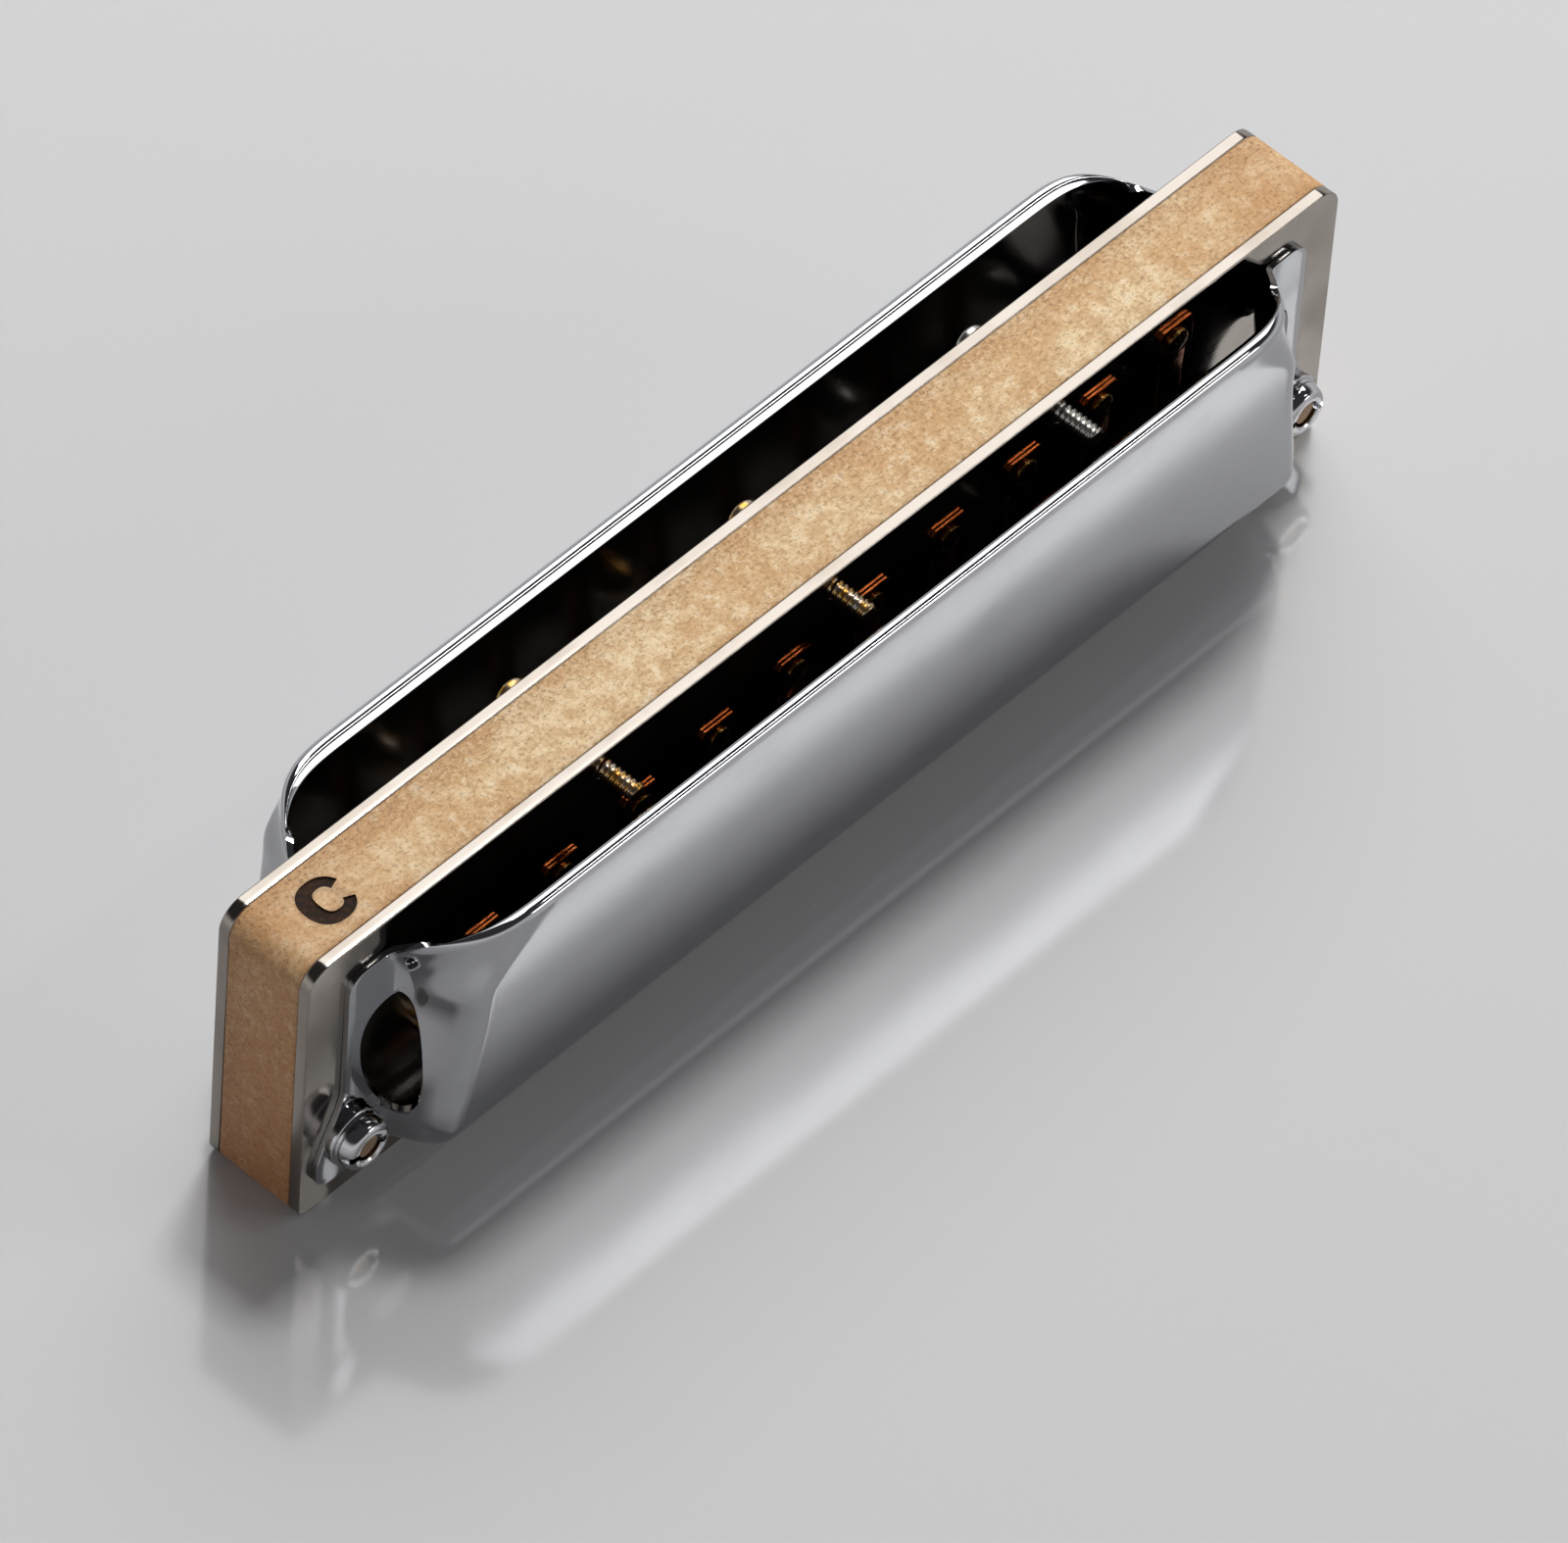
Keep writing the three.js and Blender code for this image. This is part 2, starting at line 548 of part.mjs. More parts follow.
// Both faces of the pressed sheet and the rim between them, as one closed surface.
// On the draw side the sheet is mirrored, so its triangles turn the other way
function coverSheet(mirrorSign) {
  const columns = coverColumns();
  const outer = crownProfile().map((point) => columns.map((column) => coverPoint(column, point)));
  const inner = outer.map((line, row) => line.map((point, column) => {
    return point.clone().addScaledVector(gridNormal(outer, row, column), -SHEET);
  }));
  const rows = outer.length;
  const width = columns.length;
  const positions = [...outer.flat(), ...inner.flat()].flatMap(({ x, y, z }) => {
    return [x, mirrorSign * (PLATE_OUTER + Math.max(0, y)), z];
  });
  const indices = [];
  const addFace = (a, b, c, d) => {
    indices.push(...(mirrorSign > 0 ? [a, b, c, a, c, d] : [a, c, b, a, d, c]));
  };
  const outerAt = (row, column) => row * width + column;
  const innerAt = (row, column) => rows * width + row * width + column;
  for (let row = 0; row < rows - 1; row += 1) {
    const next = row + 1;
    for (let column = 0; column < width - 1; column += 1) {
      addFace(outerAt(row, column), outerAt(next, column), outerAt(next, column + 1), outerAt(row, column + 1));
      addFace(innerAt(row, column), innerAt(row, column + 1), innerAt(next, column + 1), innerAt(next, column));
    }
    const last = width - 1;
    addFace(outerAt(row, 0), innerAt(row, 0), innerAt(next, 0), outerAt(next, 0));
    addFace(outerAt(row, last), outerAt(next, last), innerAt(next, last), innerAt(row, last));
  }
  for (let column = 0; column < width - 1; column += 1) {
    const last = rows - 1;
    addFace(outerAt(0, column), outerAt(0, column + 1), innerAt(0, column + 1), innerAt(0, column));
    const after = column + 1;
    addFace(outerAt(last, column), innerAt(last, column), innerAt(last, after), outerAt(last, after));
  }
  const geometry = new THREE.BufferGeometry();
  geometry.setAttribute('position', new THREE.Float32BufferAttribute(positions, 3));
  geometry.setIndex(indices);
  return geometry;
}

// A vent's outline in Bezier curves, as shares of its width from the inner edge outwards
// and of its height from the top downwards
const ventTopShares = [0.49, 0];
const ventCurveShares = [
  [[0.82, 0], [1, 0.1], [1, 0.31]],
  [[1, 0.6], [0.72, 1], [0.43, 1]],
  [[0.16, 1], [0, 0.88], [0, 0.69]],
  [[0.03, 0.3], [0.16, 0], ventTopShares],
];

// A teardrop that is narrower towards the back, drawn where it meets the top of the flange
function ventShape(side) {
  const place = ([across, down]) => {
    return [side * mix(VENT_INNER_X, VENT_OUTER_X, across), mix(VENT_TOP, VENT_BOTTOM, down)];
  };
  const shape = new THREE.Shape();
  shape.moveTo(...place(ventTopShares));
  for (const shares of ventCurveShares) {
    shape.bezierCurveTo(...shares.flatMap(place));
  }
  return shape;
}

// The cutter leans out over the flange at 45 degrees, so it opens the crown's end wall as well
function ventCutter(side, sign, [yLow, yHigh]) {
  const cutter = slab(ventShape(side), yLow, yHigh);
  cutter.applyMatrix4(new THREE.Matrix4().makeShear(0, 0, side * sign, 0, 0, 0));
  cutter.translate(-side * COVER_OUTER, 0, 0);
  return cutter;
}

function makeCover(side) {
  const sign = side === 'draw' ? -1 : 1;
  const reach = (low, high) => [sign * (PLATE_OUTER + low), sign * (PLATE_OUTER + high)].sort((a, b) => a - b);
  const vents = [-1, 1].map((end) => ventCutter(end, sign, reach(-OVERRUN, VENT_RISE)));
  const bolts = boltPlaces.map(({ x }) => roundCutter(x, BOLT_HEIGHT, BOLT_HOLE_RADIUS, ...reach(0, SHEET)));
  addMesh(`${side}_cover`, cut(coverSheet(sign), [...vents, ...bolts]), 'chrome');
}

makeComb();
for (const side of ['blow', 'draw']) {
  makeReedPlate(side);
  reedPlaces(side).forEach((place) => makeReed(side, place));
  reedPlaces(side).forEach((place) => makeRivet(side, place));
  makeCover(side);
}
screwPlaces.forEach(makePlateScrew);
boltPlaces.forEach(makeCoverBolt);
boltPlaces.forEach(makeCoverNut);

export default harmonica;
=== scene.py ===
import math

import bmesh
import bpy
from mathutils import Matrix, Vector
from mathutils.geometry import delaunay_2d_cdt


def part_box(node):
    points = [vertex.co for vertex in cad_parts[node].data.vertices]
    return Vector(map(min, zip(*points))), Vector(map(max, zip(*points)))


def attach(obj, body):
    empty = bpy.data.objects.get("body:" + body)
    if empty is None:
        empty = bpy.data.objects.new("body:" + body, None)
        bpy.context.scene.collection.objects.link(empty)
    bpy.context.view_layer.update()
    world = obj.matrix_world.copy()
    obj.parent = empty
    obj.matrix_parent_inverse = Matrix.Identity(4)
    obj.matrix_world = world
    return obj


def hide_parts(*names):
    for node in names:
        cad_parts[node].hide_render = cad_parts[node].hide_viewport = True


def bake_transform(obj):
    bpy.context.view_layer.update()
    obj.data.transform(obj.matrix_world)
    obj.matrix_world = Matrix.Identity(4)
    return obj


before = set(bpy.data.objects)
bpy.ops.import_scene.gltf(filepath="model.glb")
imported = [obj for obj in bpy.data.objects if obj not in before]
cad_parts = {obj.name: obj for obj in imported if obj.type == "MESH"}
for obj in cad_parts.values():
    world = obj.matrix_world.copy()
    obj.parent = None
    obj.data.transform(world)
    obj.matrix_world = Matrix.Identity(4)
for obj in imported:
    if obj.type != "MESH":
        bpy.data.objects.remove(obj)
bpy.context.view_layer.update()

MM = 0.001
MAIN_BODY = "harmonica_body"
SIDES = {"blow": 1, "draw": -1}
QUARTER = math.pi / 2

# Comb and reed plates
BACK_CORNER_RADIUS = 2
MOUTH_CORNER_RADIUS = 1
CHAMBER_WIDTH = 5
CHAMBER_END_RADIUS = 0.8
CHAMBER_MOUTH_RADIUS = 0.25
CHAMBER_PAST_ROOT = 0.9
COMB_EDGE = 0.14
PLATE_EDGE = 0.1
SLOT_CLEARANCE = 0.15

# The key letter stamped in the comb's back: a squarish round, and the narrower one left inside it
KEY_X = -44.8
KEY_Y = -0.1
KEY_OUTER = (1.95, 2.0)
KEY_INNER = (0.82, 1.08)
KEY_INNER_SHIFT = 0.2
KEY_GAP = (math.radians(26), math.radians(-20))
KEY_OUTER_SQUARENESS = 0.88
KEY_INNER_SQUARENESS = 0.75
KEY_STEPS = 40
KEY_DEPTH = 0.16
KEY_EDGE = 0.05

# Reeds and their rivets
REED_NUMBERS = range(1, 11)
TONGUE_WIDTH = 2.1
PAD_WIDTH = 3.4
PAD_LENGTH = 3.2
PAD_CHAMFER = 0.35
REED_EDGE = 0.035
REED_THINNING = 0.13
ROOT_TAPER_SHARE = 0.18
WEIGHTED_REEDS = 3
WEIGHT_SHARE = 0.8
WEIGHT_START_SHARE = 0.72
WEIGHT_TAPER_SHARE = 0.1
REED_LIFT_SHARE = 0.016
BEND_LENGTH = 3
REED_STATIONS = 24
RIVET_RADIUS = 0.6
RIVET_HEAD_RADIUS = 1
RIVET_HEAD_HEIGHT = 0.45
RIVET_DOME_SHARE = 0.72
RIVET_CHAMFER_WIDTH = 0.03
RIVET_CHAMFER_HEIGHT = 0.02
RIVET_TAIL_HEIGHT = 0.25
RIVET_TAIL_RADIUS = 0.8
RIVET_HOLE_RADIUS = 0.7

# Reed plate screws
SCREW_NUMBERS = range(1, 9)
SCREW_RADIUS = 0.75
SCREW_HEAD_RADIUS = 1.5
SCREW_HEAD_HEIGHT = 0.9
SCREW_HEAD_CHAMFER = 0.06
SCREW_RIM_SHARE = 0.35
SCREW_POINT = 0.35
SCREW_POINT_STEPS = 6
SCREW_HOLE_RADIUS = 0.9
SCREW_PITCH = 0.46
THREAD_DEPTH = 0.13
THREAD_FULLNESS = 1.25
SCREW_DRIVE_LENGTH = 1.7
SCREW_DRIVE_DEPTH = 0.5
RECESS_FLOOR_SHARE = 0.62

# Cover bolts and nuts
BOLT_RADIUS = 1
BOLT_HOLE_RADIUS = 1.15
BOLT_HEAD_RADIUS = 2.3
BOLT_HEAD_HEIGHT = 1.5
BOLT_HEAD_CHAMFER = 0.08
BOLT_RIM_SHARE = 0.3
BOLT_END_CHAMFER = 0.15
BOLT_PITCH = 0.4
NUT_RADIUS = 2.35
NUT_BASE_CHAMFER = 0.05
NUT_RIM = 0.7
NUT_RIM_ROUND = 0.14
NUT_RIM_STEPS = 5
NUT_RIM_LIP = 0.02
NUT_WAIST_RADIUS = 2
NUT_WAIST_FILLET = 0.1
NUT_WAIST_DROP = 0.16
NUT_SHOULDER = 0.08
NUT_SHOULDER_DROP = 0.12
NUT_TOP_RADIUS = 1.45
NUT_DOME_POWER = 0.8
NUT_BORE = 1.05
NUT_BORE_CHAMFER = 0.128
NUT_BORE_DROP = 0.12
DRIVE_WIDTH = 0.55
DRIVE_LENGTH = 2.6
DRIVE_DEPTH = 0.7

# Covers. Rows count along the section: the lip, the shoulder, the crown, the roll and its lip
SHEET = 0.45
SHEET_EDGE = 0.16
SHEET_EDGE_STEPS = 3
SHEET_EDGE_ANGLE = math.radians(60)
COVER_HEIGHT = 6.15
CROWN_SWELL = 0.55
SHOULDER_RUN = 3.6
COVER_FRONT = 2.4
FRONT_LIP = 0.6
WALL_Z = COVER_FRONT + FRONT_LIP
CROWN_RISE = COVER_HEIGHT - SHEET
SHOULDER_RISE = CROWN_RISE - CROWN_SWELL
FRONT_FILLET = 0.35
FLANGE_BACK = 22.2
CROWN_BACK = 24.8
ROLL_RADIUS = 0.6
ROLL_LIP = 0.3
CURL = math.radians(135)
CURL_LIP = 0.5
END_RUN = 3
BACK_END_RUN = 10.5
END_FILLET = 0.14
END_LIFT_SHARE = 4
FOOT_HALF_LENGTH = 43.45
WAIST_HEIGHT = 17.2
WAIST_INSET = 1.75
WAIST_BELOW_BACK = 5
FOOT_FLARE = 1.4
FLANGE_HALF_LENGTH = 47
EAR_REACH = 2.4
EAR_TOP = 11
EAR_BOTTOM = 4
FLANGE_CORNER = 1.5
SHOULDER_ROWS = 6
CROWN_ROWS = 6
ROLL_ROWS = 3
SHOULDER_END = 1 + SHOULDER_ROWS
CROWN_END = SHOULDER_END + CROWN_ROWS
ROLL_END = CROWN_END + ROLL_ROWS
LAST_ROW = ROLL_END + 1

# Side vents, with their outline in shares of their width, outwards, and their height, downwards
VENT_TOP = 17.7
VENT_BOTTOM = 6.95
VENT_OUTER_X = 45.7
VENT_INNER_X = 39.6
VENT_RISE = 4
VENT_TOP_SHARES = (0.49, 0)
VENT_CURVE_SHARES = (
    ((0.82, 0), (1, 0.1), (1, 0.31)),
    ((1, 0.6), (0.72, 1), (0.43, 1)),
    ((0.16, 1), (0, 0.88), (0, 0.69)),
    ((0.03, 0.3), (0.16, 0), VENT_TOP_SHARES),
)

# Fineness of the meshes
ROUND_STEPS = 40
ARC_STEPS = 10
EDGE_STEPS = 3
SAME_POINT = 1e-5
BEZIER_STEPS = 24
MOUTH_STEPS = 4
ROWS_PER_PITCH = 10
FLANGE_STEPS = 8
END_STEPS = 40
END_CROWDING = 1.35
MIDDLE_STEPS = 12
CUTTER_OVERRUN = 0.5
SHARP_ANGLE = math.radians(38)
FLAT_COSINE = 1 - 1e-6

# Stretches of the covers' rows: where each starts and ends, and its steps
ROW_STRETCHES = (
    (0, 0.4, 2),
    (0.4, 1.4, 8),
    (1.4, SHOULDER_END, 24),
    (SHOULDER_END, CROWN_END, 30),
    (CROWN_END, ROLL_END, 15),
    (ROLL_END, LAST_ROW, 3),
)

# The studio, in metres. The backdrop gives way to the ceiling between two heights of the sky
FLOOR_REACH = 1.6
FLOOR_ROUGHNESS = 0.11
CEILING_START = 0.2
CEILING_FULL = 0.55

# Soft boxes: direction, direction of the length, distance, length, height and radiance
LAMPS = {
    "key_softbox": ((0.5, 0.41, 0.76), (1, 0, 0), 0.7, 0.5, 0.5, 2.8),
    "top_softbox": ((0.3, 0.17, 0.94), (1, 0, 0), 1.2, 0.16, 0.16, 68),
    "strip_softbox": ((0.503, -0.409, 0.761), (0.965, 0.13, -0.235), 1.5, 0.24, 0.06, 20),
    "low_softbox": ((0.5, -0.76, 0.41), (1, 0.4, 0), 1.5, 0.5, 0.35, 3),
}

# The camera that was fitted to the photograph
CAMERA_PLACE = (-0.593104, -0.491680, 0.910130)
CAMERA_TURN = (40.203176, -3.044747, -46.811377)
CAMERA_LENS = 402.434
CAMERA_SENSOR = 36
CAMERA_SHIFT = (-0.001109, -0.003601)
CAMERA_CLIP = (0.01, 20)


def mix(low, high, share):
    return low + (high - low) * share


def clamped(share):
    return min(1, max(0, share))


def smooth(share):
    share = clamped(share)
    return share * share * (3 - 2 * share)


def solid_box(node):
    """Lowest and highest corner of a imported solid, in millimetres."""
    low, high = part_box(node)
    return low / MM, high / MM


def colour(red, green, blue):
    """Linear colour of a screen colour whose channels run from 0 to 255."""
    channels = [value / 255 for value in (red, green, blue)]
    return [*(c / 12.92 if c <= 0.04045 else ((c + 0.055) / 1.055) ** 2.4 for c in channels), 1]


FLOOR_COLOUR = colour(203, 203, 204)
BACKDROP_COLOUR = colour(222, 222, 224)
CEILING_COLOUR = colour(60, 60, 62)

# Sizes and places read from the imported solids
COMB_HIGH = solid_box("comb")[1]
HALF_LENGTH = COMB_HIGH.x
COMB_DEPTH = COMB_HIGH.z
PLATE_INNER = COMB_HIGH.y
PLATE_OUTER = solid_box("blow_reed_plate")[1].y
COVER_OUTER = PLATE_OUTER + SHEET
NUT_LOW, NUT_HIGH = solid_box("right_cover_nut")
BOLT_X = (NUT_LOW.x + NUT_HIGH.x) / 2
BOLT_HEIGHT = (NUT_LOW.z + NUT_HIGH.z) / 2


class Amount:
    """A number that varies over a surface. Its operators add Math nodes."""

    def __init__(self, finish, socket):
        self.finish = finish
        self.socket = socket

    def maths(self, operation, first, second=0.0):
        values = {0: first, 1: second}
        node = self.finish.node("ShaderNodeMath", {"operation": operation}, values)
        return Amount(self.finish, node.outputs[0])

    def __add__(self, other):
        return self.maths("ADD", self, other)

    __radd__ = __add__

    def __sub__(self, other):
        return self.maths("SUBTRACT", self, other)

    def __rsub__(self, other):
        return self.maths("SUBTRACT", other, self)

    def __mul__(self, other):
        return self.maths("MULTIPLY", self, other)

    __rmul__ = __mul__

    def __truediv__(self, other):
        return self.maths("DIVIDE", self, other)

    def __pow__(self, other):
        return self.maths("POWER", self, other)

    def __abs__(self):
        return self.maths("ABSOLUTE", self)

    def between(self, low, high):
        """0 below low, 1 above high and a smooth step from one to the other."""
        settings = {"interpolation_type": "SMOOTHSTEP"}
        values = {"Value": self, "From Min": low, "From Max": high}
        node = self.finish.node("ShaderNodeMapRange", settings, values)
        return Amount(self.finish, node.outputs[0])


class Finish:
    """A material on one Principled shader, with the nodes that vary it over the surface."""

    def __init__(self, name, sockets):
        self.material = bpy.data.materials.new(name)
        self.material.use_nodes = True
        self.tree = self.material.node_tree
        self.shader = self.tree.nodes["Principled BSDF"]
        for socket, value in sockets.items():
            self.feed(self.shader.inputs[socket], value)

    def feed(self, socket, value):
        if isinstance(value, Amount):
            value = value.socket
        if isinstance(value, bpy.types.NodeSocket):
            self.tree.links.new(value, socket)
        else:
            socket.default_value = value

    def node(self, kind, settings=None, values=None):
        made = self.tree.nodes.new(kind)
        for setting, value in (settings or {}).items():
            setattr(made, setting, value)
        for socket, value in (values or {}).items():
            self.feed(made.inputs[socket], value)
        return made

    def set(self, socket, value):
        self.feed(self.shader.inputs[socket], value)

    def place(self, stretch=(1, 1, 1)):
        """The place on the object in millimetres, each axis times its stretch."""
        coordinates = self.node("ShaderNodeTexCoord").outputs["Object"]
        scale = [value / MM for value in stretch]
        values = {0: coordinates, 1: scale}
        return self.node("ShaderNodeVectorMath", {"operation": "MULTIPLY"}, values).outputs[0]

    def axes(self):
        """The place on the object as three amounts in millimetres."""
        split = self.node("ShaderNodeSeparateXYZ", None, {0: self.place()})
        return [Amount(self, output) for output in split.outputs]

    def noise(self, scale, stretch=(1, 1, 1), detail=2.0, roughness=0.5, offset=0.0):
        """Noise with scale features to a millimetre, from about 0.25 to 0.75."""
        place = self.place([scale * value for value in stretch])
        moved = self.node("ShaderNodeVectorMath", {"operation": "ADD"}, {0: place, 1: [offset] * 3})
        values = {"Vector": moved.outputs[0], "Scale": 1.0}
        values |= {"Detail": detail, "Roughness": roughness}
        return Amount(self, self.node("ShaderNodeTexNoise", None, values).outputs["Fac"])

    def mix(self, share, first, second):
        """The second colour over the first, by a share that may vary."""
        values = {0: share, 6: first, 7: second}
        return self.node("ShaderNodeMix", {"data_type": "RGBA"}, values).outputs[2]

    def bump(self, height, depth):
        """Relief whose height runs over depth millimetres from 0 to 1."""
        values = {"Height": height, "Distance": depth * MM, "Strength": 1.0}
        self.set("Normal", self.node("ShaderNodeBump", None, values).outputs["Normal"])


def key_scorch(x, y, z):
    """How far heat has browned the wood round the stamped letter."""
    width, height = KEY_OUTER
    from_middle = (((x - KEY_X) / width) ** 2.0 + ((y - KEY_Y) / height) ** 2.0) ** 0.5
    on_stroke = abs(from_middle - 0.75).between(0.42, 0.26)
    on_back = z.between(COMB_DEPTH - 0.5, COMB_DEPTH - 0.1)
    clear_of_gap = (x - KEY_X).between(1.9, 1.2)
    return on_stroke * on_back * clear_of_gap


def pear_wood():
    """Fine speckled pear wood, pale in the middle and browner at the ends and along the plates,
    with painted shade on the end faces and, at the ends, towards the floor.
    """
    wood = Finish("pear_wood", {"Specular IOR Level": 0.3})
    x, y, z = wood.axes()
    patches = wood.noise(0.16, (0.7, 1, 1), detail=3.0, roughness=0.6, offset=3.7)
    mottle = wood.noise(0.85, detail=5.0, roughness=0.75, offset=21.0)
    speckle = wood.noise(2.8, detail=3.0, roughness=0.8)
    flecks = wood.noise(4.0, (0.6, 1, 1), detail=1.0, offset=11.0).between(0.58, 0.7)
    ends = abs(x).between(30.0, 52.0)
    end_face_shade = abs(x).between(HALF_LENGTH - 0.3, HALF_LENGTH)
    far_side = y.between(0.2, PLATE_INNER)
    near_side = y.between(-2.5, -3.3)
    foot = z.between(21.0, 0.0)
    toned = wood.mix(patches.between(0.4, 0.62), colour(226, 184, 132), colour(246, 218, 172))
    layers = (
        (mottle.between(0.56, 0.42) * 0.55, colour(206, 160, 108)),
        (mottle.between(0.53, 0.66) * 0.6, colour(255, 236, 202)),
        (ends * 0.45, colour(204, 146, 94)),
        (far_side * 0.3, colour(178, 134, 92)),
        (near_side * 0.25, colour(160, 108, 66)),
        # Painted shade: the ends darken towards the floor, and the end faces darken as a whole.
        (foot * ends * 0.5, colour(160, 98, 64)),
        (end_face_shade * 0.35, colour(140, 92, 60)),
        (speckle.between(0.5, 0.36) * (0.35 + far_side * 0.35), colour(144, 104, 70)),
        (speckle.between(0.54, 0.68) * (0.4 - ends * 0.3), colour(255, 244, 220)),
        (flecks * 0.3, colour(126, 88, 56)),
        (key_scorch(x, y, z) * 0.3, colour(120, 78, 46)),
    )
    for share, tone in layers:
        toned = wood.mix(share, toned, tone)
    wood.set("Base Color", toned)
    wood.set("Roughness", 0.5 + speckle * 0.25)
    wood.bump(speckle * 0.6 + mottle * 0.5 - flecks * 0.4, 0.06)
    return wood.material


def burnt_wood():
    """The charred floor and walls of the stamped letter."""
    char = Finish("burnt_wood", {"Specular IOR Level": 0.25})
    ash = char.noise(3.0, detail=4.0, roughness=0.65)
    char.set("Base Color", char.mix(ash.between(0.4, 0.7), colour(38, 25, 16), colour(74, 48, 30)))
    char.set("Roughness", 0.65 + ash * 0.3)
    char.bump(ash, 0.05)
    return char.material


def plated_sheet():
    """Nickelled reed plate: a bright sheet drawn lengthwise, with faint clouds of tarnish."""
    plate = Finish("nickelled_plate", {"Metallic": 1.0})
    lines = plate.noise(5.0, (0.03, 1, 1), detail=3.0, roughness=0.7)
    clouds = plate.noise(0.16, detail=3.0, offset=8.0).between(0.42, 0.7)
    clean, dull = colour(154, 147, 139), colour(136, 127, 117)
    plate.set("Base Color", plate.mix(clouds * 0.6, clean, dull))
    plate.set("Roughness", 0.07 + lines * 0.08 + clouds * 0.08)
    plate.bump(lines, 0.004)
    return plate.material


def bright_chrome():
    """Polished chrome with the slow waves of a pressed sheet and faint handling marks."""
    chrome = Finish("bright_chrome", {"Metallic": 1.0})
    smears = chrome.noise(0.22, (1, 1, 1.6), detail=4.0, roughness=0.62).between(0.5, 0.74)
    scratches = chrome.noise(4.2, (0.06, 1, 1), detail=2.0, offset=4.0).between(0.66, 0.78)
    waves = chrome.noise(0.07, detail=1.0, offset=2.0)
    chrome.set("Base Color", chrome.mix(smears * 0.5, colour(184, 185, 188), colour(174, 174, 177)))
    chrome.set("Roughness", 0.035 + smears * 0.05 + scratches * 0.06)
    chrome.bump(waves * 0.8 + scratches * 0.01, 0.05)
    return chrome.material


def inner_sheet_painted_dark():
    """The less polished inside of a cover, its colours painted dark as shade that falls in the
    cover's hollow.
    """
    shaded_inside = Finish("inner_sheet_painted_dark", {"Metallic": 1.0})
    stain = shaded_inside.noise(0.3, detail=4.0, roughness=0.6)
    # Painted shade: both dark greys stand in for the shade under the cover, so that its hollow
    # looks dark.
    shaded_inside.set("Base Color", shaded_inside.mix(stain, colour(96, 95, 96), colour(116, 114, 113)))
    shaded_inside.set("Roughness", 0.1 + stain * 0.1)
    shaded_inside.bump(stain, 0.01)
    return shaded_inside.material


def reed_bronze():
    """Spring bronze with the fine marks of the file across the tongue."""
    bronze = Finish("reed_bronze", {"Metallic": 1.0})
    filing = bronze.noise(6.0, (0.1, 1, 1), detail=2.0, roughness=0.7)
    tone = bronze.noise(0.5, detail=3.0, offset=6.0).between(0.35, 0.7)
    bronze.set("Base Color", bronze.mix(tone, colour(184, 104, 56), colour(158, 84, 42)))
    bronze.set("Roughness", 0.1 + filing * 0.12)
    bronze.bump(filing, 0.006)
    return bronze.material


def rivet_brass():
    """Hammered brass, a little darker than the reeds' pads, its colours darkened as painted shade
    for the shade under the covers.
    """
    brass = Finish("rivet_brass", {"Metallic": 1.0})
    dents = brass.noise(2.6, detail=1.0)
    stain = brass.noise(1.1, detail=4.0, offset=9.0).between(0.45, 0.7)
    # Painted shade: both browns are darkened for the shade under the covers; the stain darkens
    # patches further at random.
    brass.set("Base Color", brass.mix(stain * 0.6, colour(150, 116, 62), colour(112, 80, 42)))
    brass.set("Roughness", 0.16 + stain * 0.16)
    brass.bump(dents, 0.08)
    return brass.material


def screw_steel():
    """Plated screws, worn through to their brass but for the ones at the low notes."""
    steel = Finish("screw_steel", {"Metallic": 1.0})
    x, _, _ = steel.axes()
    wear = steel.noise(1.3, detail=4.0, roughness=0.6, offset=1.5)
    worn = x.between(12.0, 8.0) * wear.between(0.3, 0.6)
    steel.set("Base Color", steel.mix(worn, colour(190, 187, 180), colour(200, 152, 74)))
    steel.set("Roughness", 0.16 + wear * 0.16)
    steel.bump(steel.noise(7.0, detail=2.0), 0.006)
    return steel.material


def fastener_chrome():
    """Chromed bolts and nuts, with brass showing on the bolts' cut ends, darkened there as painted
    shade in the nuts' bores.
    """
    chrome = Finish("fastener_chrome", {"Metallic": 1.0})
    x, y, z = chrome.axes()
    wear = chrome.noise(1.6, detail=3.0, roughness=0.6)
    from_axis = ((abs(x) - BOLT_X) ** 2.0 + (z - BOLT_HEIGHT) ** 2.0) ** 0.5
    in_bore = from_axis.between(BOLT_RADIUS + 0.12, BOLT_RADIUS)
    shaded_cut_end = y.between(NUT_LOW.y + 1.4, NUT_LOW.y + 1.0) * in_bore
    # Brass on the bolts' cut ends, painted dark as shade for the shade in the nut's bore.
    chrome.set("Base Color", chrome.mix(shaded_cut_end, colour(190, 190, 192), colour(104, 76, 42)))
    chrome.set("Roughness", 0.06 + wear.between(0.5, 0.75) * 0.14)
    chrome.bump(chrome.noise(5.0, detail=2.0), 0.004)
    return chrome.material


def mesh_from(name, vertices, faces):
    """A mesh whose corners that lie together are joined and whose faces look outwards."""
    mesh = bpy.data.meshes.new(name)
    mesh.from_pydata(vertices, [], faces)
    work = bmesh.new()
    work.from_mesh(mesh)
    bmesh.ops.remove_doubles(work, verts=work.verts, dist=SAME_POINT)
    bmesh.ops.recalc_face_normals(work, faces=work.faces)
    work.to_mesh(mesh)
    work.free()
    return mesh


def evaluated(holder):
    """The finished mesh of an object that was made only to carry modifiers."""
    bpy.context.collection.objects.link(holder)
    graph = bpy.context.evaluated_depsgraph_get()
    mesh = bpy.data.meshes.new_from_object(holder.evaluated_get(graph))
    bpy.data.objects.remove(holder)
    return mesh


